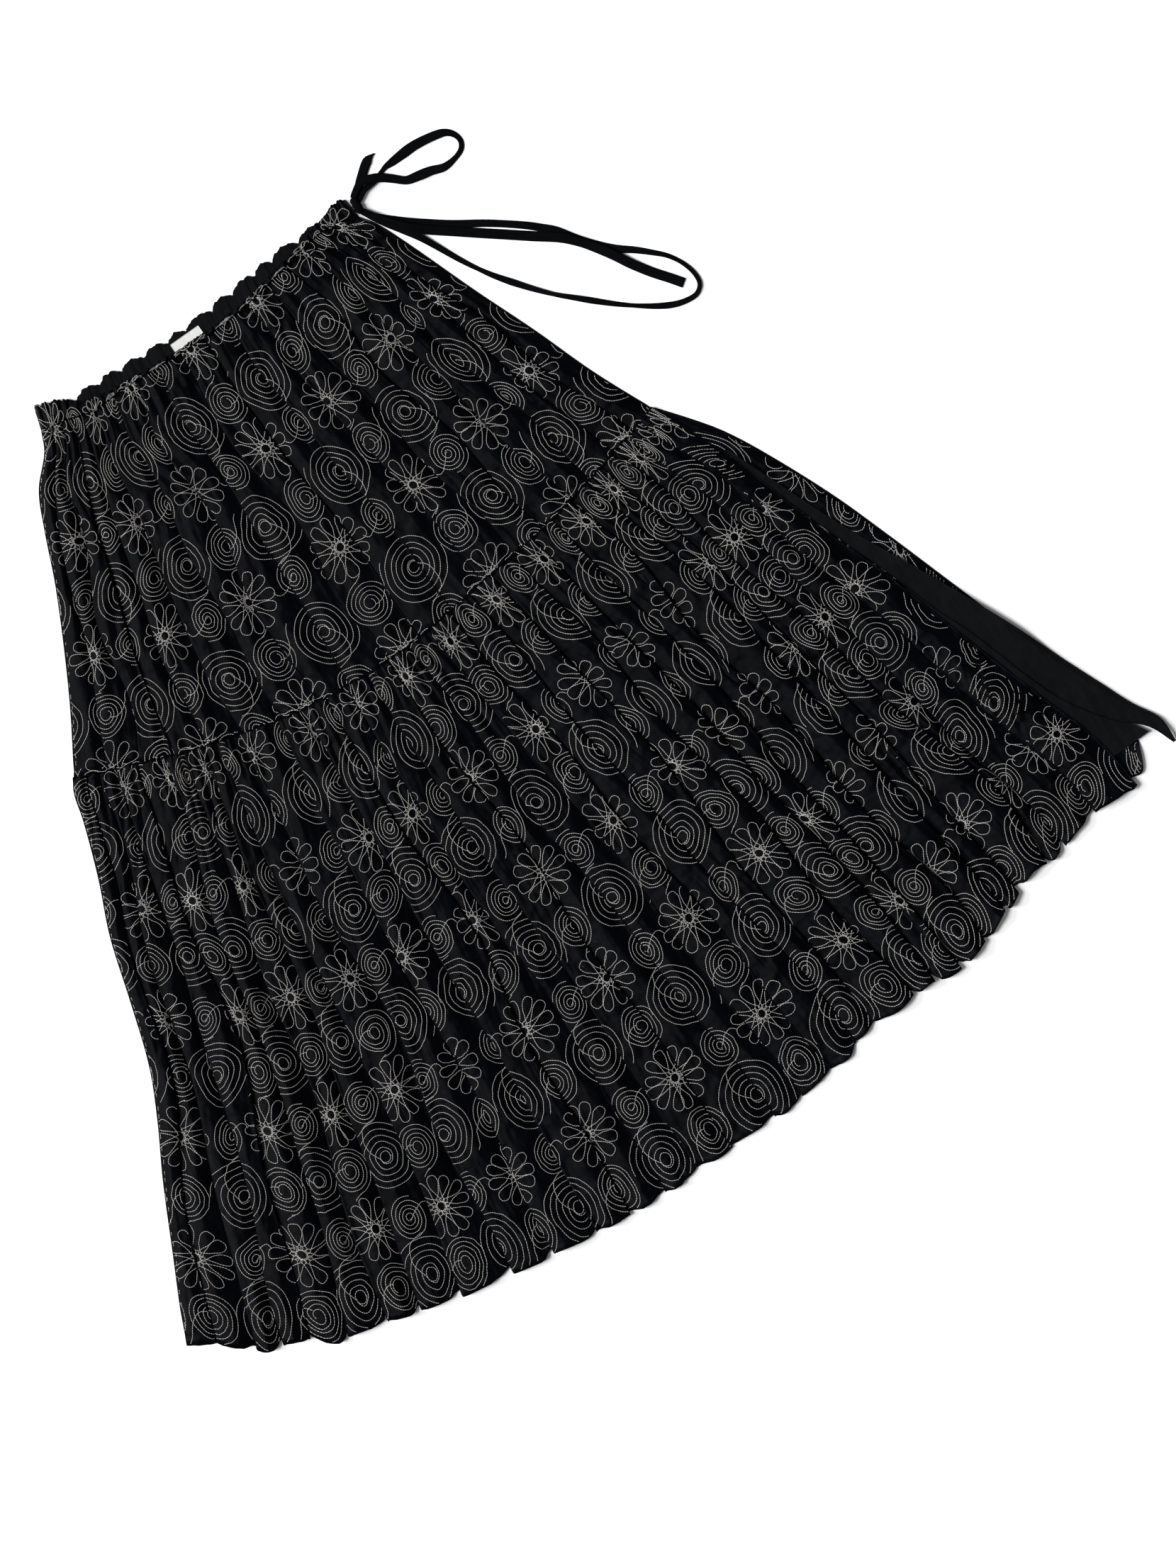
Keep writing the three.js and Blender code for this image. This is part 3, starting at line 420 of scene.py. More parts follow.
# Shape that all folds have: shares of the length or of the cloth, heights and widths in millimetres
foldShape = {"slack": 1.03, "open": 0.12, "closed": 0.75, "foot": 0.7, "full": 7, "round": 1.4, "layer": 0.6,
             "sideUp": 0.75, "sideWidth": 8, "notchFrom": 0.93, "leastNotch": 0.36, "seamFrom": 0.955,
             "underSeam": 0.7, "underLength": 7, "reach": (0.8, 0.7), "rim": 0.6, "under": 1.3}
# Lines of points over a ridge, then in a tuck as (side of the valley line, share of the hidden cloth)
ridgeSteps = (0, 0.05, 0.13, 0.23, 0.34, 0.45, 0.56, 0.67, 0.78, 0.88, 0.95, 1)
tuckPlaces = [(0.35, 0.1), (-0.5, 0.3), (-1.0, 0.52), (-0.5, 0.76)]


def valleyLines(spec, shares, width):  # share of the width at each row, from the ends' shares
    rows, g = spec["rows"], spec["rows"][:, None]
    lines = shares[:, 0] * (1 - g) + shares[:, 1] * g
    wander = ripple(spec["seed"], 6, 0.35, 1.2, 0.3)
    for j in range(1, lines.shape[1] - 1):
        sway = spec["wander"] * wander(rows, np.full_like(rows, j * 3.7)) * ease(rows / 0.2)
        lines[:, j] += sway / width[:, 0]
    return lines


def hiddenCloth(spec, cloth, visible):  # cloth that each fold hides at its left and at its right
    excess = np.maximum(np.diff(cloth, axis=1) - foldShape["slack"] * visible, 0)
    opening = ease(spec["rows"][:, None] / spec["tuckFrom"])
    atLeft = mix(spec["seamTuck"], spec["tuck"], opening) * excess / 2
    atRight = atLeft.copy()
    atRight[:, 0] += atLeft[:, 0]  # none at the panel's own edges
    atLeft[:, 0] = 0
    atLeft[:, -1] += atRight[:, -1]
    atRight[:, -1] = 0
    return atLeft, atRight


def ridgeHeights(spec, folds):
    g = spec["rows"][:, None]
    upperHalf = mix(spec["seamRidge"], folds[:, 2], ease(2 * g))
    ridge = np.where(g < 0.5, upperHalf, mix(folds[:, 2], folds[:, 3], ease(2 * g - 1)))
    return mix(foldShape["closed"], 1, ease(g / foldShape["open"])) * ridge + spec["lift"]


def creases(spec, k, s, fine, crinkle, bunched):  # small relief on fold k, at place s on the cloth
    rows, t = spec["rows"], spec["rows"] * spec["length"]
    wave = spec["gatherWave"] + 2.5 * np.sin(k * 2.1)
    near = 1 - ease(rows / (spec["gatherShare"] * (1 + 0.5 * np.sin(k * 1.3))))
    puffs = np.abs(np.sin(np.pi * s / wave + k / 2)) ** 0.7  # round, with narrow creases
    gathers = spec["gather"] * near * (2 * puffs - 1.1)
    if bunched:  # by the bow
        lines = np.sin(t / 2.6 + 0.16 * s + k) + 0.6 * np.sin(0.8 * s + rows * 40)
        gathers = gathers + spec["bunch"] * ease((0.3 - rows) / 0.25) * lines
    return gathers + spec["fine"] * fine(s, t) + spec["crinkle"] * crinkle(s, t)


def foldedPanel(spec, folds, end, clothTable, clothRows, onPanel, level, edges):
    # ridges between valley lines, with the rest of the cloth in tucks under them
    rows, g = spec["rows"], spec["rows"][:, None]
    folds = np.array(folds, float)
    count = len(folds)
    valley = np.concatenate([folds[:, :2], [end]])
    shares = (valley - valley[0]) / (valley[-1] - valley[0])
    left, right = onPanel(np.zeros_like(g), g)[0], onPanel(np.ones_like(g), g)[0]
    width = right - left
    lines = valleyLines(spec, shares, width)
    visible = np.diff(lines, axis=1) * width
    cloth = clothAtRows(clothTable, clothRows, rows)
    cloth = np.maximum.accumulate(cloth + 1e-3 * np.arange(count + 1), axis=1)
    atLeft, atRight = hiddenCloth(spec, cloth, visible)
    hidden = atRight[:, :-1] + atLeft[:, 1:]
    ridge = ridgeHeights(spec, folds)
    crest = folds[:, 4]
    lean = np.zeros(count + 1)  # the side whose ridge lies over the valley: 1 left, -1 right
    lean[1:-1] = np.where(crest[:-1] + crest[1:] > 1.0, 1, -1)
    over = np.where(lean[1:-1] > 0, ridge[:, :-1], ridge[:, 1:])
    edge = np.zeros((len(rows), count + 1))
    edge[:, 1:-1] = (spec["edge"] * over + foldShape["foot"]) * ease(hidden / foldShape["full"])
    startUp = np.where(lean[:-1] < 0, edge[:, :-1], 0)
    endUp = np.where(lean[1:] > 0, edge[:, 1:], 0)

    def relief(k, q):
        shape = np.where(q <= crest[k], q / crest[k], (1 - q) / (1 - crest[k]))
        foot = np.where(q <= crest[k], startUp[:, k], endUp[:, k])
        return foot + (ridge[:, k] - foot) * np.sin(np.clip(shape, 0, 1) * np.pi / 2) ** foldShape["round"]

    fine, crinkle = ripple(spec["seed"] + 1, 9, 14, 42, 0.22), ripple(spec["seed"] + 2, 8, 6, 13, 0.12)
    hemSlant = np.random.default_rng(spec["seed"] + 5).normal(0, spec["slant"], count)
    hemSlant[[0, -1]] = 0
    columns = []  # share of the width, place on the cloth, height, fold or -1 in a tuck, slant at the hem
    for k in range(count):
        if k:
            side = lean[k]
            cover = k - 1 if side > 0 else k
            least, most = foldShape["reach"]
            reach = np.clip(hidden[:, k - 1] / 2, least, most * visible[:, cover])
            for number, (x, s) in enumerate(tuckPlaces if side > 0 else tuckPlaces[::-1]):
                distance = side * x * (reach if abs(x) > 0.4 else np.ones_like(reach))
                inside = np.clip(np.abs(distance) / np.maximum(visible[:, cover], 1), 0, 0.95)
                cap = relief(cover, 1 - inside if side > 0 else inside)
                heights = (edge[:, k] * foldShape["rim"], np.maximum(cap - foldShape["under"], 0.2),
                           np.maximum(cap - foldShape["under"] - 0.1, 0) * 0.5, np.zeros_like(cap))
                s = s if side > 0 else 1 - s
                columns.append((lines[:, k] + distance / width[:, 0],
                                mix(cloth[:, k] - atRight[:, k - 1], cloth[:, k] + atLeft[:, k], s),
                                heights[number if side > 0 else 3 - number], -1,
                                mix(hemSlant[k - 1], -hemSlant[k], s)))
        for q in ridgeSteps:
            s = mix(cloth[:, k] + atLeft[:, k], cloth[:, k + 1] - atRight[:, k], q)
            small = creases(spec, k, s, fine, crinkle, k >= count - 3)
            height = np.maximum(relief(k, q) + np.sin(np.pi * q) ** 0.5 * small, 0)
            columns.append((mix(lines[:, k], lines[:, k + 1], q), s, height, k, hemSlant[k] * (2 * q - 1)))
    share, place, up, owner, slant = zip(*columns)
    share, place, up = (np.stack(x, -1) for x in (share, place, up))
    across, down = onPanel(share, g)
    height = levels["rest"] + foldShape["layer"] + level(across, down, g) + up
    for side, limit in (("left", left), ("right", right)):
        if side in edges:
            distance = np.clip(np.abs(across - limit) / foldShape["sideWidth"], 0, 1)
            height = mix(foldShape["sideUp"], height, 1 - (1 - distance) ** 2)
    if "seamWave" in spec:  # the tier's end isn't quite straight over the gathers
        uneven = ripple(spec["seed"] + 6, 7, 7, 34, 0.01)(across, 0 * across)
        down = down + spec["seamWave"] * uneven * ease((g - foldShape["seamFrom"]) / 0.045)
    if "tuckUnder" in spec:  # the seam allowance goes under the tier above
        out = ease(g * spec["length"] / foldShape["underLength"])
        height = mix(levels["rest"] + foldShape["underSeam"], height, out)
    if "hem" in spec:  # notches between the folds, deeper between high ones
        valleyUp = np.clip(up / np.maximum(ridge.mean(), 1), 0, 1)
        deep = np.clip(folds[:, 3] / spec["deepNotch"], foldShape["leastNotch"], 1)
        notch = np.interp(share[-1], (shares[:-1, 1] + shares[1:, 1]) / 2, deep)
        tips = spec["hem"] * (1 - notch * (1 - valleyUp ** 0.7)) + notch * np.array(slant)
        down = down + tips * ease((g - foldShape["notchFrom"]) / 0.07)
    return {"grid": np.stack([across, down, height], -1), "place": place, "rows": rows,
            "owner": np.array(owner), "length": spec["length"]}


def clothOf(panel):
    t = np.broadcast_to(panel["rows"][:, None] * panel["length"], panel["place"].shape)
    return np.stack([panel["place"], t], -1)


# Front of the upper tier
upperLook = {"rows": np.concatenate([np.linspace(0, 0.3, 20, endpoint=False), np.linspace(0.3, 1, 28)]),
             "length": 340, "seed": 11, "wander": 2.4, "seamTuck": 0.5, "tuck": 0.7, "tuckFrom": 0.35,
             "seamRidge": 1.6, "lift": 0.7, "edge": 0.5, "gather": 1.6, "gatherWave": 13,
             "gatherShare": 0.36, "fine": 0.55, "bunch": 1.5, "seamWave": 0.75, "crinkle": 0.2, "wall": 0.5,
             "slant": 0}
onUpper = patch(frontGatherLine, lowered(tierSeam, 0.5), upperLeftEdge, upperRightEdge, levels["fade"])


def upperLevel(across, down, g):
    toWaist = down - downAt(frontGatherLine, across)
    return (levels["waist"] - levels["rest"]) * (1 - ease(toWaist / levels["waistLength"]))


upperPanel = foldedPanel(upperLook, upperFolds, foldsEnd["upper"], upperCloth, np.array(upperClothRows),
                         onUpper, upperLevel, ("left", "right"))
upperFront = clothShell("upper_front_cloth", upperPanel["grid"], upperLook["wall"], clothOf(upperPanel))
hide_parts("skirt_front_upper")

# Front of the lower tier
lowerLook = {"rows": np.concatenate([np.linspace(0, 0.13, 14, endpoint=False),
                                     np.linspace(0.13, 0.92, 42, endpoint=False), np.linspace(0.92, 1, 7)]),
             "length": 550, "seed": 31, "wander": 2.8, "seamTuck": 0.45, "tuck": 0.88, "tuckFrom": 0.12,
             "seamRidge": 1.4, "lift": 0.7, "edge": 0.55, "gather": 2.6, "gatherWave": 13,
             "gatherShare": 0.24, "fine": 0.65, "bunch": 0, "tuckUnder": 1.6, "crinkle": 0.2, "wall": 0.5,
             "hem": levels["hemScallop"], "deepNotch": 5.4, "slant": 2.8}
crests = []
for row, after in zip(lowerFolds, [*lowerFolds[1:], (0, foldsEnd["lower"][1])]):
    crests.append((mix(row[1], after[1], row[4]), row[5] - levels["hemScallop"]))
hemLine = [lowerLeftEdge[-1], *crests, slitEdge[-1]]
onLower = patch(lowered(tierSeam, -lowerLook["tuckUnder"]), hemLine, lowerLeftEdge, slitEdge, levels["fade"])


def underFacing(down):  # height of the layers beside the slit
    onFacing = ease((down - levels["facingStart"]) / levels["facingClimb"])
    return mix(levels["frontFacing"], levels["sideFacing"], onFacing)


def lowerLevel(across, down, g):
    toSlit = acrossAt(slitEdge, down) - across
    near = 1 - ease((toSlit - mix(*levels["slitOverlap"], g) - 5) / 50)
    return near * (underFacing(down) - levels["rest"])


lowerPanel = foldedPanel(lowerLook, lowerFolds, foldsEnd["lower"], lowerCloth, np.array(lowerClothRows),
                         onLower, lowerLevel, ("left",))
lowerFront = clothShell("lower_front_cloth", lowerPanel["grid"], lowerLook["wall"], clothOf(lowerPanel))
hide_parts("skirt_front_lower")
print("front panels:", len(upperFront.data.polygons), len(lowerFront.data.polygons), "faces")

# Stitched motifs, drawn by rule on the flat cloth in millimetres from their own middle
motif = {"pitch": 104, "row": 112.5, "lowerStart": 23.1, "upperStart": 4, "wobble": 0.45, "jitter": 0.8,
         "petals": 12, "reach": 31, "eye": 4.0,
         "places": ((0, 0, "daisy"), (52, 0, "small"), (0, 55, "medium"), (52, 54, "large"))}
petalShape = [(2.5, 6.0), (0.7, 9), (-1.5, 13), (-3.9, 19), (-5.1, 24.5), (-3.9, 29.4), (0, 31),
              (3.9, 29.4), (5.1, 24.5), (3.9, 19), (1.5, 13), (-0.7, 9), (-2.5, 6.0)]
stitchLook = {"every": 1.05, "width": 0.51, "high": 0.33, "float": 0.24, "narrow": 0.68}


def curveThrough(points):
    line, _ = throughPoints([(*p, 0) for p in points], 1.0)
    return line[:, :2]


spirals = {  # half width and height, first radius, turns, where it starts, its way round, its tails
    "small": ((18, 20.5), 2.0, 4.75, 0.4, 1,
              [[(-0.6, 1.8), (1.6, 1.0), (5, -2.4), (10, -6.6), (15.5, -9.6), (20, -9.4), (22.4, -6.4),
                (23.4, -4)]]),
    "medium": ((21, 23), 3.6, 4.9, 2.2, 1,
               [[(-3.4, -3.4), (-8, -3.6), (-13, -1.4), (-16.6, 2.5), (-19, 8), (-20.5, 15), (-22.6, 20),
                 (-25.5, 24)],
                [(3, 22.5), (-2, 25), (-5, 28)]]),
    "large": ((31.5, 33.5), 5.2, 5.0, np.pi, -1,
              [[(-5, 1), (-10, -5), (-13.5, -12), (-13.6, -20), (-12, -26), (-9, -31), (-2, -34.5),
                (5, -36)]]),
}


def drawSpiral(kind, centre, seed):
    (wide, high), inner, turns, start, way, tails = spirals[kind]
    rng = np.random.default_rng(seed)
    angle = np.linspace(0, 2 * np.pi * turns, int(90 * turns))
    radius = mix(inner, wide, (angle / angle[-1]) ** 1.08)
    for waves, size in ((2, 0.03), (3, 0.025), (5, 0.011)):
        radius = radius * (1 + size * rng.normal() * np.sin(waves * angle + rng.uniform(0, 6.3)))
    radius = radius + 0.3 * rng.normal() * np.sin(angle * 0.37 + rng.uniform(0, 6.3))
    turn = start + way * angle
    lines = [np.array(centre) + np.stack([radius * np.cos(turn), high / wide * radius * np.sin(turn)], -1)]
    lines += [curveThrough([(centre[0] + x, centre[1] + y) for x, y in tail]) for tail in tails]
    if kind == "large":  # with a closed ring at its start
        ring = np.linspace(0, 2.1 * np.pi, 30)
        lines.append(np.array(centre) + inner * np.stack([np.cos(ring), np.sin(ring)], -1))
    return lines


def drawDaisy(centre, seed):
    rng = np.random.default_rng(seed)
    ring = np.linspace(0, 2.08 * np.pi, 22) + rng.uniform(0, 6)
    eye = np.array(centre) + motif["eye"] * np.stack([np.cos(ring), 1.05 * np.sin(ring)], -1)
    path = []
    for petal in range(motif["petals"]):
        angle = 2 * np.pi * (petal + rng.normal(0, 0.07)) / motif["petals"]
        size = motif["reach"] / petalShape[6][1] * rng.uniform(0.93, 1.03)
        wide = rng.uniform(0.9, 1.12)
        out, side = np.array([np.sin(angle), -np.cos(angle)]), np.array([np.cos(angle), np.sin(angle)])
        path += [np.array(centre) + size * y * out + wide * (x + rng.normal(0, 0.12)) * side
                 for x, y in petalShape]
    return [eye, curveThrough(path)]


def drawPattern(first, last, start, length, rows, flipped, seed):  # repeats first to last across
    lines = []
    sign = -1 if flipped else 1
    for k in range(first, last + 1):
        for i in range(-1, rows + 1):
            number = seed + 1000 * (k + 50) + 10 * (i + 5)
            t = start + motif["row"] * i
            jitter = np.random.default_rng(number).normal(0, motif["jitter"], 8)
            for offset, below, kind in motif["places"]:
                number += 1
                middle = (motif["pitch"] * k - sign * offset + jitter[number % 4],
                          t + sign * below + jitter[4 + number % 4])
                made = drawDaisy(middle, number) if kind == "daisy" else drawSpiral(kind, middle, number)
                lines += [2 * np.array(middle) - line for line in made] if flipped else made
    return [line for line in lines if line[:, 1].max() > 0 and line[:, 1].min() < length]


def wobbled(line, rng, every):  # hand-guided line in even steps
    far = np.concatenate([[0], np.cumsum(np.linalg.norm(np.diff(line, axis=0), axis=1))])
    steps = np.arange(0, far[-1], every)
    out = np.stack([np.interp(steps, far, line[:, i]) for i in range(2)], -1)
    for i in range(2):
        for wave, share in ((7, 0.14), (12, 0.26), (24, 0.6)):
            size = motif["wobble"] * share * rng.normal()
            turn = 2 * np.pi * steps / (wave * rng.uniform(0.8, 1.2))
            out[:, i] += size * np.sin(turn + rng.uniform(0, 6.3))
    return out


def onPanelGrid(panel, normals, s, t):  # points and normals where the flat cloth's (s, t) lies
    rows, place = panel["rows"], panel["place"]
    g = t / panel["length"]
    ok = (g > 0.0025) & (g < 0.997)
    row = np.clip(np.searchsorted(rows, g, side="right") - 1, 0, len(rows) - 2)
    points, sides = np.zeros((len(s), 3)), np.zeros((len(s), 3))
    owner = panel["owner"]
    for r in np.unique(row):
        these = np.nonzero(row == r)[0]
        part = ((g[these] - rows[r]) / (rows[r + 1] - rows[r]))[:, None]
        for line, weight in ((r, 1 - part), (r + 1, part)):
            at = np.interp(s[these], place[line], np.arange(place.shape[1]))
            low = np.clip(at.astype(int), 0, place.shape[1] - 2)
            f = (at - low)[:, None]
            points[these] += weight * mix(panel["grid"][line, low], panel["grid"][line, low + 1], f)
            sides[these] += weight * mix(normals[line, low], normals[line, low + 1], f)
            ok[these] &= (owner[low] >= 0) & (owner[low] == owner[low + 1])
            ok[these] &= (s[these] > place[line, 0] + 0.6) & (s[these] < place[line, -1] - 1.8)
    return points, unit(sides), ok


def plainPanel(across, down, height, place, g, length):  # a panel without tucks
    return {"grid": np.stack([across, down, height], -1), "place": place, "rows": g[:, 0],
            "owner": np.zeros(across.shape[1], int), "length": length}


def stitch(name, panel, lines, look, seed, flat=False):
    # a ribbon along the lines, low and narrow between stitches, left out where a tuck hides it
    rng = np.random.default_rng(seed)
    lines = [wobbled(line, rng, look["every"]) for line in lines]
    lines = [line for line in lines if len(line) > 3]
    owner = np.concatenate([np.full(len(line), i) for i, line in enumerate(lines)])
    number = np.concatenate([np.arange(len(line)) for line in lines])
    flatPlace = np.concatenate(lines)
    points, normals, ok = onPanelGrid(panel, panel["normals"], flatPlace[:, 0], flatPlace[:, 1])
    step = np.linalg.norm(np.diff(points, axis=0), axis=1)
    joined = ok[:-1] & ok[1:] & (owner[:-1] == owner[1:]) & (step < 2.2 * look["every"])
    along = np.zeros_like(points)
    along[:-1][joined] += np.diff(points, axis=0)[joined]
    along[1:][joined] += np.diff(points, axis=0)[joined]
    along = unit(along)
    side = unit(np.cross(along * [1, -1, 1], normals * [1, -1, 1]) * [1, -1, 1])
    thick = np.where(number % 2 == 0, look["narrow"], 1.0)[:, None] * look["width"] / 2
    used = np.zeros(len(points), bool)
    used[:-1] |= joined
    used[1:] |= joined
    index = np.cumsum(used) - 1
    base = points + normals * look["float"]
    top = base + normals * look["high"] * np.where(number % 2 == 0, 0.5, 1.0)[:, None]
    first = index[:-1][joined]
    if flat:
        vertices = np.stack([base - side * thick, base + side * thick], 1)[used]
        faces = np.stack([2 * first, 2 * first + 1, 2 * first + 3, 2 * first + 2], -1)
        groups, each = [faces], 2
    else:
        vertices = np.stack([base - side * thick, top, base + side * thick], 1)[used]
        a = 3 * first
        groups = [np.stack([a, a + 1, a + 4, a + 3], -1), np.stack([a + 1, a + 2, a + 5, a + 4], -1)]
        each = 3
    vertices[..., 2] = np.maximum(vertices[..., 2], 0.03)
    middleOfStitch = (number % 2)[used] * 1000.0  # 1 at a stitch's middle and 0 at its ends, where the thread finish paints shade
    cloth = np.repeat(np.column_stack([flatPlace[used], middleOfStitch])[:, None], each, 1)
    piece = makePiece(name, vertices.reshape(-1, 3), groups, cloth)
    return piece


def stitchPanel(name, panel, lines, look, seed, parts, flat=False):
    middles = np.array([line[:, 0].mean() for line in lines])
    cuts = np.quantile(middles, np.linspace(0, 1, parts + 1))
    pieces = []
    for part in range(parts):
        here = (middles >= cuts[part]) & (middles < cuts[part + 1] if part < parts - 1 else True)
        chosen = [line for line, keep in zip(lines, here) if keep]
        pieces.append(stitch(f"{name}_{part + 1}", panel, chosen, look, seed + part, flat))
    return pieces


seamLook = {"long": (3.6, 5.2), "spread": 2.4, "tilt": 0.5, "pace": (0.7, 1.5), "inset": 2.4, "uneven": 0.4}


def seamStitches(panel, start, end, gap, seed, level=None):  # short stitches that a seam has caught
    rng = np.random.default_rng(seed)
    lines = []
    at = start
    while at < end - 6:
        along = np.linspace(at, at + rng.uniform(*seamLook["long"]), 6)
        if level is None:  # down the left side seam
            s = np.interp(along, panel["rows"] * panel["length"], panel["place"][:, 0])
            s = s + seamLook["inset"] + rng.normal(0, seamLook["uneven"])
            lines.append(np.column_stack([s, along]))
        else:
            t = level - rng.uniform(0, seamLook["spread"]) + (along - at) * rng.normal(0, seamLook["tilt"])
            lines.append(np.column_stack([along, t]))
        at += gap * rng.uniform(*seamLook["pace"])
    return lines


upperPanel["normals"] = outward(upperPanel["grid"])
lowerPanel["normals"] = outward(lowerPanel["grid"])
upperLines = drawPattern(-4, 4, motif["upperStart"], 340, 4, True, 4)
lowerLines = drawPattern(-1, 15, motif["lowerStart"], 550, 5, False, 7)
upperLines += seamStitches(upperPanel, -350, 354, 30, 21, 337.6) + seamStitches(upperPanel, 6, 334, 8, 22)
lowerLines += seamStitches(lowerPanel, 8, 540, 8, 23)
upperThread = stitchPanel("upper_front_stitching", upperPanel, upperLines, stitchLook, 50, 1)
lowerThread = stitchPanel("lower_front_stitching", lowerPanel, lowerLines, stitchLook, 60, 3)
for piece in [*upperThread, *lowerThread]:
    print("stitches:", piece.name, 2 * len(piece.data.polygons), "triangles")

# Back panels, pressed flat under the front, right side down
backLook = {"level": 0.95, "relief": 0.4, "wall": 0.35, "lowest": 0.2, "inset": 10, "seamDrop": 5,
            "seamGap": 0.15, "pleats": 24, "uneven": 0.008, "looseness": 1.04,
            "stitch": {**stitchLook, "every": 2.6, "float": 0.1, "high": 0.1, "width": 0.9}}


def backPanel(name, outline, source, look, lines, seed):
    onPanel = patch(*outline, levels["fade"])
    count = look["pleats"] + 1
    g = np.linspace(0, 1, 40)[:, None]
    spread = np.random.default_rng(seed).normal(0, look["uneven"], count) * np.r_[0, np.ones(count - 2), 0]
    valleys = np.linspace(0, 1, count) + spread
    steps = np.linspace(0, 1, 8, endpoint=False)
    f = np.concatenate([mix(a, b, steps) for a, b in zip(valleys, valleys[1:])] + [[1]])
    q = np.concatenate([steps] * (count - 1) + [[0]])
    across, down = onPanel(f[None], g)
    wave = ripple(seed, 6, 30, 90, 0.3)
    dent = np.abs(np.sin(np.pi * q)) ** 0.7 * look["relief"] + 0.05 * wave(across, down)
    height = look["level"] - dent * (0.6 + 0.4 * g)
    width = across[:, -1:] - across[:, :1]
    middle = np.mean(source["place"][:, [0, -1]])
    place = middle + (f[None] - 0.5) * width * look["looseness"]
    panel = plainPanel(across, down, height, place, g, source["length"])
    wall = clothShell(name, panel["grid"][:, ::-1], look["wall"], clothOf(panel)[:, ::-1], look["lowest"])
    panel["normals"] = -np.abs(outward(panel["grid"]))
    panel["normals"][..., :2] = 0
    thread = stitchPanel(name.replace("cloth", "stitching"), panel, lines, look["stitch"], seed, 1, True)
    return wall, thread


def backOutline(above, below, left, right):  # a little inside the front's outline
    return above, below, narrowed(left, backLook["inset"]), narrowed(right, -backLook["inset"])


backSeam = lowered(tierSeam, backLook["seamDrop"])
backUpper, backUpperThread = backPanel(
    "back_upper_cloth", backOutline(lowered(backGatherLine, 0.3), lowered(backSeam, -backLook["seamGap"]),
                                    upperLeftEdge, upperRightEdge),
    upperPanel, backLook, upperLines, 71)
backLower, backLowerThread = backPanel(
    "back_lower_cloth", backOutline(lowered(backSeam, backLook["seamGap"]), backHem,
                                    lowerLeftEdge, sideOutline),
    lowerPanel, backLook, lowerLines, 72)
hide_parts("skirt_back_upper")
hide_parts("skirt_back_lower")
print("back panels made")

# Cloth beyond the slit, under the front's slit edge
sideLook = {"wave": 0.7, "up": 1.5, "wall": 0.5, "length": 520, "start": 1520, "stretch": 1.25, "shift": -12,
            "seam": 0.7, "seamWidth": 6,
            "folds": ((0, 0.2, 0.38, 0.54, 0.7, 0.87, 1), (0, 0.3, 1, 0.2, 0.9, 0.4, 0))}


def makeSide():
    tucked = []
    for a, d in slitEdge:
        g = (d - slitEdge[0][1]) / (slitEdge[-1][1] - slitEdge[0][1])
        tucked.append((a - mix(*levels["slitOverlap"], g), d))
    onPanel = patch(sideTop, sideHem, tucked, sideOutline)
    f, g = np.linspace(0, 1, 26), np.linspace(0, 1, 60)[:, None]
    across, down = onPanel(f[None], g)
    rise = sideLook["wave"] * np.interp(f, *sideLook["folds"]) * ease(g / 0.1)
    rise = levels["rest"] + sideLook["up"] + rise + 0.1 * ripple(81, 6, 8, 30, 0.5)(across, down)
    fromSeam = np.clip((across[:, -1:] - across) / sideLook["seamWidth"], 0, 1)
    height = mix(sideLook["seam"], rise, 1 - (1 - fromSeam) ** 2)
    place = sideLook["start"] + (f[None] - 0.1) * (across[:, -1:] - across[:, :1]) * sideLook["stretch"]
    panel = plainPanel(across, down, height, place, g, sideLook["length"])
    piece = clothShell("side_lower_cloth", panel["grid"], sideLook["wall"], clothOf(panel))
    panel["normals"] = outward(panel["grid"])
    return piece, panel


sideCloth, sidePanel = makeSide()
sideLines = drawPattern(13, 17, motif["lowerStart"], 540, 5, False, 7)
sideLines = [line + [0, sideLook["shift"]] for line in sideLines]
sideThread = stitchPanel("side_lower_stitching", sidePanel, sideLines, stitchLook, 82, 1)
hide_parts("skirt_side_lower")

# Gathered headers above the waist
frontHeaderLook = {"gathers": 46, "pace": (0.45, 1.55), "sizes": (0.35, 1.0), "wave": 1.7, "fine": 0.22,
                   "up": 1.2, "length": 25, "wall": 0.5, "sway": 0.0035, "seamDrop": 1.5, "underSeam": 0.9,
                   "edgeUp": 0.8, "edgeWidth": 5, "fullHeight": 23,
                   "top": (1.6, 0.7, 1.1)}  # how far crests, crinkle and sway move the top edge
backHeaderLook = {"gathers": 13, "pace": (0.75, 1.25), "sizes": (0.6, 1.0), "wave": 2.0, "fine": 0.2,
                  "up": 1.3, "length": 25, "cloth": 700, "wall": 0.5, "scallop": 7, "topFine": 0.5,
                  "pressed": (-44, 4, 0.2)}  # flat behind the label: from, to, share of the relief


def headerPatch(top, gatherLine, below):
    return patch(top, lowered(gatherLine, below), [top[0], gatherLine[0]], [top[-1], gatherLine[-1]])


def unevenGathers(f, look, seed):  # number and size of the gather at each place
    rng = np.random.default_rng(seed)
    bends = np.cumsum(np.concatenate([[0], rng.uniform(*look["pace"], look["gathers"])]))
    turn = np.interp(f, bends / bends[-1], np.arange(look["gathers"] + 1))
    return turn, np.interp(f, bends / bends[-1], rng.uniform(*look["sizes"], look["gathers"] + 1))


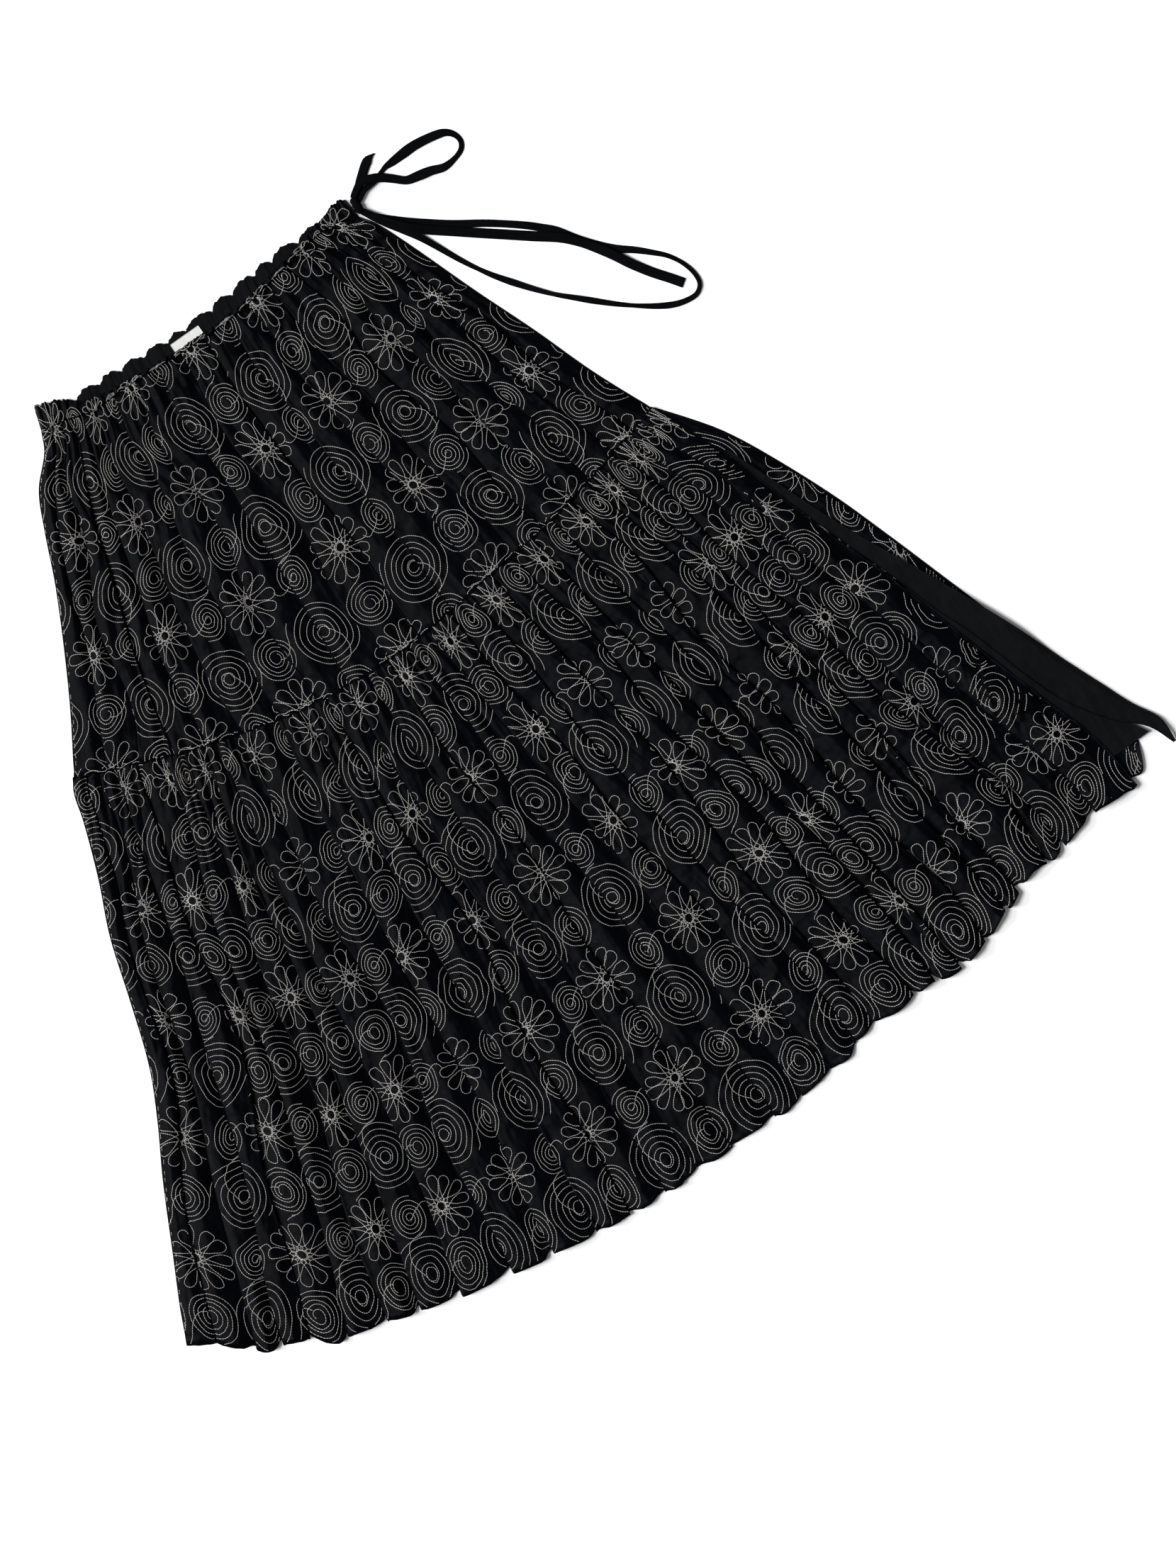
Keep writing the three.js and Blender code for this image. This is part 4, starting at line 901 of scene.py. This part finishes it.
def makeFrontHeader():  # the same cloth as the upper tier, gathered past the drawstring's casing
    look = frontHeaderLook
    onPanel = headerPatch(frontFrillTop, frontGatherLine, look["underSeam"])
    f, g = np.linspace(0, 1, 560), np.linspace(0, 1, 14)[:, None]
    turn, size = unevenGathers(f, look, 91)
    crest = (1 - np.cos(2 * np.pi * turn)) / 2 * size
    sway = ripple(94, 5, 0.09, 0.3, 0.1)(f[None], 0.4 * g)
    across, down = onPanel(f[None] + look["sway"] * sway * np.sin(np.pi * f) * (1 - g), g)
    fine = ripple(92, 8, 3, 11, 0.2)(across, down)
    tall = np.clip((down[-1:] - down[:1]) / look["fullHeight"], 0.35, 1)
    byCrest, byFine, bySway = look["top"]
    top = (byCrest * (0.5 - crest) + byFine * fine + bySway * sway) * (1 - g) ** 1.5 * tall
    height = levels["waist"] + look["up"] + look["wave"] * crest * mix(1, 0.75, g) + look["fine"] * fine
    height = height - look["seamDrop"] * ease((g - 0.8) / 0.2)
    edge = np.minimum(across - across[:, :1], across[:, -1:] - across) / look["edgeWidth"]
    height = mix(look["edgeUp"], height, 1 - (1 - np.minimum(edge, 1)) ** 2)
    place = np.interp(f, onShares, upperPanel["place"][0])[None] + 0 * g
    panel = plainPanel(across, down + top, height, place, g, look["length"])
    panel["normals"] = outward(panel["grid"])
    return clothShell("front_header_cloth", panel["grid"], look["wall"], clothOf(panel)), panel


topLine = upperPanel["grid"][0]
onShares = (topLine[:, 0] - topLine[0, 0]) / (topLine[-1, 0] - topLine[0, 0])
onShares = np.maximum.accumulate(np.sort(onShares, kind="stable"))
frontFrill, headerPanel = makeFrontHeader()
headerLines = [line + [0, frontHeaderLook["length"]] for line in upperLines if line[:, 1].min() < 0]
headerThread = stitchPanel("front_header_stitching", headerPanel, headerLines, stitchLook, 95, 1)


def makeBackHeader():  # its plain inside shows behind the front
    look = backHeaderLook
    onPanel = headerPatch(backFrillTop, backGatherLine, 0)
    f, g = np.linspace(0, 1, 24 * look["gathers"] + 1), np.linspace(0, 1, 14)[:, None]
    turn, size = unevenGathers(f, look, 93)
    across, down = onPanel(f[None], g)
    puff = np.abs(np.sin(np.pi * turn))
    fine = ripple(96, 7, 3, 12, 0.25)(across, down)
    first, last, share = look["pressed"]
    pressed = np.where((across > first) & (across < last), share, 1)
    rise = look["wave"] * puff ** 1.4 * size * mix(1, 0.5, g) + look["fine"] * fine
    dips = look["scallop"] * (1 - puff ** 0.55) * mix(0.75, 1, size) + look["topFine"] * fine
    grid = np.stack([across, down + dips * (1 - g) ** 2, look["up"] + rise * pressed], -1)
    cloth = np.stack([f[None] * look["cloth"] + 0 * g, g * look["length"] + 0 * f], -1)
    return clothShell("back_header_cloth", grid, look["wall"], cloth)


backFrill = makeBackHeader()
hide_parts("waist_frill_front")
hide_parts("waist_frill_back")

# Facings of the slit
facingLook = {"wall": 0.5, "up": 0.75, "uneven": 0.16, "lowest": 0.65, "rolledEdge": (0.35, 0.08),
              "hemLines": ((0.3, 0.957), (0.1, 0.9)), "hemLineWidth": 0.004,  # depth and place
              "dropFrom": 640, "dropOver": 50, "dropped": 0.3}
sideFacingLeft = [
    (345.8, 366), (382.4, 463), (416, 543), (434, 590), (451, 627), (486, 716), (518, 762),
    (544, 785), (557, 810),
]
sideFacingRight = [
    (349, 366), (402, 480), (441, 552), (472, 610), (493, 652), (515, 700), (530, 731), (544, 760),
    (559, 785), (560, 810),
]
frontFacingLeft = [(411, 560), (464, 707), (494, 793)]
frontFacingRight = [(425, 560), (490, 707), (543, 790)]


def makeFacing(name, left, right, level, seed):
    onPanel = patch([left[0], right[0]], [left[-1], right[-1]], left, right)
    f, g = np.linspace(0, 1, 16), np.linspace(0, 1, 160)[:, None]
    across, down = onPanel(f[None], g)
    uneven = facingLook["uneven"] * ripple(seed, 7, 12, 45, 1.2)(across, down)
    rolled, narrow = facingLook["rolledEdge"]
    height = level(f[None], down) + facingLook["up"] + uneven + rolled * np.exp(-(f[None] / narrow) ** 2)
    for depth, fold in facingLook["hemLines"]:
        height = height - depth * np.exp(-((g - fold) / facingLook["hemLineWidth"]) ** 2)
    height = np.maximum(height, facingLook["lowest"])
    cloth = np.stack([across, down], -1)
    return clothShell(name, np.stack([across, down, height], -1), facingLook["wall"], cloth)


def sideFacingUp(f, down):  # its outer edge drops beyond the cloth, lower down
    drop = ease((down - facingLook["dropFrom"]) / facingLook["dropOver"]) * ease((f - 0.9) / 0.1)
    return mix(underFacing(down), facingLook["dropped"], drop)


def frontFacingUp(f, down):
    return levels["frontFacing"]


facingFront = makeFacing("front_slit_facing", frontFacingLeft, frontFacingRight, frontFacingUp, 101)
facingSide = makeFacing("side_slit_facing", sideFacingLeft, sideFacingRight, sideFacingUp, 102)
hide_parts("slit_facing_front")
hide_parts("slit_facing_side")
print("headers and facings made")

# Label, left blank
labelLook = {"across": -19.4, "down": 23.8, "width": 31.5, "length": 16.5, "tilt": 3.4, "up": 2.6,
             "thick": 0.5, "waist": 0.012, "curl": 0.3, "uneven": 0.05}


def makeLabel():
    x, y = np.meshgrid(np.linspace(-0.5, 0.5, 33), np.linspace(-0.5, 0.5, 19))
    tilt = np.radians(labelLook["tilt"])
    a = x * labelLook["width"] * (1 - labelLook["waist"] * (2 * np.abs(y)) ** 6)
    b = y * labelLook["length"]
    across = labelLook["across"] + a * np.cos(tilt) + b * np.sin(tilt)
    down = labelLook["down"] - a * np.sin(tilt) + b * np.cos(tilt)
    curl = labelLook["curl"] * np.sin(2.2 * x + 1) * (0.5 - y)
    grid = np.stack([across, down, labelLook["up"] + curl + labelLook["uneven"] * np.sin(25 * x)], -1)
    return clothShell("blank_label", grid, labelLook["thick"], np.stack([a, b], -1))


blankLabel = makeLabel()
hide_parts("label_blank")


# Materials
class Wire:  # one socket, with arithmetic that adds Math nodes
    def __init__(self, tree, socket):
        self.tree, self.socket = tree, socket

    def math(self, operation, other, reflected=False):
        pair = (other, self) if reflected else (self, other)
        return self.tree.node("ShaderNodeMath", {"operation": operation}, dict(enumerate(pair)))[0]

    def __add__(self, other):
        return self.math("ADD", other)

    def __radd__(self, other):
        return self.math("ADD", other, True)

    def __sub__(self, other):
        return self.math("SUBTRACT", other)

    def __rsub__(self, other):
        return self.math("SUBTRACT", other, True)

    def __mul__(self, other):
        return self.math("MULTIPLY", other)

    def __rmul__(self, other):
        return self.math("MULTIPLY", other, True)

    def between(self, low, high):  # 0 at low, 1 at high
        made = self.tree.node("ShaderNodeMapRange", {"interpolation_type": "SMOOTHSTEP"},
                              {"Value": self, "From Min": low, "From Max": high})
        return made["Result"]


class Finish:  # a material's node tree
    def __init__(self, name):
        self.material = bpy.data.materials.new(name)
        self.material.use_nodes = True
        self.nodes, self.links = self.material.node_tree.nodes, self.material.node_tree.links
        self.shader = self.nodes["Principled BSDF"]

    def put(self, socket, value):
        if isinstance(value, Wire):
            self.links.new(value.socket, socket)
        else:
            socket.default_value = value

    def node(self, kind, settings=None, values=None):
        made = self.nodes.new(kind)
        for name, value in (settings or {}).items():
            setattr(made, name, value)
        for name, value in (values or {}).items():
            self.put(made.inputs[name], value)
        return Outputs(self, made)

    def place(self):
        return self.node("ShaderNodeAttribute", {"attribute_name": "clothPlace"})["Vector"]

    def noise(self, vector, scale, detail=2.0):
        return self.node("ShaderNodeTexNoise", {}, {"Vector": vector, "Scale": scale, "Detail": detail})[0]

    def stretched(self, vector, scale):
        return self.node("ShaderNodeVectorMath", {"operation": "MULTIPLY"}, {0: vector, 1: scale})[0]

    def blendColours(self, a, b, factor):
        return self.node("ShaderNodeMix", {"data_type": "RGBA"}, {"Factor": factor, 6: a, 7: b})[2]

    def bump(self, height, strength, distance, normal=None):
        values = {"Height": height, "Strength": strength, "Distance": distance}
        if normal is not None:
            values["Normal"] = normal
        return self.node("ShaderNodeBump", {}, values)[0]

    def wave(self, vector, scale, direction):
        return self.node("ShaderNodeTexWave", {"bands_direction": direction, "wave_type": "BANDS"},
                         {"Vector": vector, "Scale": scale})["Fac"]

    def set(self, **values):
        for name, value in values.items():
            self.put(self.shader.inputs[name.replace("_", " ")], value)
        return self.material


class Outputs:  # a node's outputs, by name or number
    def __init__(self, tree, node):
        self.tree, self.node = tree, node

    def __getitem__(self, key):
        return Wire(self.tree, self.node.outputs[key])


satinLook = {"dark": (0.0003, 0.0004, 0.0008, 1), "light": (0.0013, 0.0016, 0.0028, 1), "rough": 0.35,
             "shine": 0.025, "weave": 900, "weaveDepth": 0.3, "crinkle": 0.7,
             "lint": (0.16, 0.16, 0.165, 1), "lintShare": 0.8}
plainLook = {"dark": (0.0018, 0.002, 0.0025, 1), "light": (0.0038, 0.0041, 0.005, 1), "rough": 0.66,
             "shine": 0.04, "weave": 700, "weaveDepth": 0.5, "crinkle": 0.42}
tapeColours = {"dark": (0.0009, 0.001, 0.0013, 1), "light": (0.0026, 0.0028, 0.0035, 1), "rough": 0.8,
               "shine": 0.02, "weave": 520, "weaveDepth": 0.25, "crinkle": 0.21}
# end: painted shade, a darker thread colour towards each stitch's ends where it dips into the cloth
threadLook = {"dark": (0.27, 0.262, 0.243, 1), "light": (0.56, 0.547, 0.516, 1),
              "end": (0.13, 0.125, 0.116, 1), "rough": 0.62, "sheen": 0.1, "shine": 0.4, "twist": 420,
              "twistDepth": 0.5}
labelColours = {"dark": (0.52, 0.52, 0.51, 1), "light": (0.64, 0.64, 0.625, 1), "rough": 0.72, "shine": 0.3,
                "weave": 420, "weaveDepth": 0.6, "crinkle": 0.175}


def clothFinish(name, look):
    made = Finish(name)
    place = made.place()
    inSpace = made.node("ShaderNodeTexCoord")["Object"]
    patchy = made.noise(inSpace, 22, 3)
    streaks = made.noise(made.stretched(place, (900, 60, 1)), 1.0, 2)
    colour = made.blendColours(look["dark"], look["light"], (patchy * 0.6 + streaks * 0.5).between(0.3, 0.8))
    if "lint" in look:
        where = made.noise(inSpace, 90, 1.0).between(0.52, 0.6)
        specks = made.noise(inSpace, 620, 1.0).between(0.80, 0.86) * where
        colour = made.blendColours(colour, look["lint"], specks * look["lintShare"])
    warp = made.wave(place, look["weave"], "X")
    weft = made.wave(place, look["weave"] * 0.8, "Y")
    soft = made.noise(made.stretched(place, (105, 16, 1)), 1.0, 1.0)
    wide = made.noise(inSpace, 70, 1.0)
    normal = made.bump(soft * 0.6 + wide * 0.8, look["crinkle"], 0.004)
    normal = made.bump(warp + weft, look["weaveDepth"], 0.00012, normal)
    rough = look["rough"] + (patchy - 0.5) * 0.16 + (streaks - 0.5) * 0.1
    return made.set(Base_Color=colour, Roughness=rough, Normal=normal, Specular_IOR_Level=look["shine"])


satin = clothFinish("embroidered_satin", satinLook)
plain = clothFinish("plain_cloth", plainLook)
tapeWeave = clothFinish("woven_tape", tapeColours)
labelWeave = clothFinish("woven_label", labelColours)


def threadFinish():
    made = Finish("ivory_thread")
    place = made.place()
    spots = made.noise(made.stretched(place, (600, 600, 1)), 1.0, 2)
    wide = made.noise(made.node("ShaderNodeTexCoord")["Object"], 30, 2)
    worn = (spots * 0.7 + wide * 0.4).between(0.3, 0.8)
    colour = made.blendColours(threadLook["dark"], threadLook["light"], worn)
    split = made.node("ShaderNodeSeparateXYZ", {}, {"Vector": place})
    # painted shade: the thread darkens towards the ends of each stitch, where it goes into the cloth
    colour = made.blendColours(threadLook["end"], colour, split["Z"].between(0.1, 0.62))
    twist = made.wave(place, threadLook["twist"], "DIAGONAL")
    return made.set(Base_Color=colour, Roughness=threadLook["rough"] + (spots - 0.5) * 0.2,
                    Normal=made.bump(twist, threadLook["twistDepth"], 0.0001),
                    Sheen_Weight=threadLook["sheen"], Specular_IOR_Level=threadLook["shine"])


thread = threadFinish()
finishes = [(satin, (upperFront, lowerFront, backUpper, backLower, sideCloth, frontFrill),
             "embroidered_cloth"),
            (plain, (backFrill, facingFront, facingSide), "plain_cloth"),
            (tapeWeave, (shortLoop, shortEnd, longLoop, longEnd, knot), None),
            (labelWeave, (blankLabel,), "label_cloth"),
            (thread, (*upperThread, *lowerThread, *backUpperThread, *backLowerThread, *sideThread,
                      *headerThread), None)]
for finish, pieces, slot in finishes:
    for piece in pieces:
        piece.data.materials.append(finish)
print("materials made")

# Floor and light
roomLook = {"floor": (0.88, 0.88, 0.88, 1), "sky": 0.24,
            "lights": {"key_light": (3.3, 22, 342, 50),  # power, size, from, height
                       "low_light": (2.4, 16, 330, 27)}}
floorMesh = bpy.data.meshes.new("floor")
floorMesh.from_pydata([(-6, -6, 0), (6, -6, 0), (6, 6, 0), (-6, 6, 0)], [], [(0, 1, 2, 3)])
floor = bpy.data.objects.new("floor", floorMesh)
bpy.context.scene.collection.objects.link(floor)
pale = Finish("pale_floor")
floorMesh.materials.append(pale.set(Base_Color=roomLook["floor"], Roughness=0.9))

for name, (power, size, comesFrom, above) in roomLook["lights"].items():
    lamp = bpy.data.lights.new(name, "SUN")
    lamp.energy, lamp.angle = power, np.radians(size)
    light = bpy.data.objects.new(name, lamp)
    light.rotation_euler = (np.radians(90 - above), 0, np.radians(comesFrom - 90))
    bpy.context.scene.collection.objects.link(light)
world = bpy.data.worlds.new("studio")
bpy.context.scene.world = world
world.use_nodes = True
world.node_tree.nodes["Background"].inputs["Color"].default_value = (1, 1, 1, 1)
world.node_tree.nodes["Background"].inputs["Strength"].default_value = roomLook["sky"]
bpy.context.scene.view_settings.view_transform = "Standard"
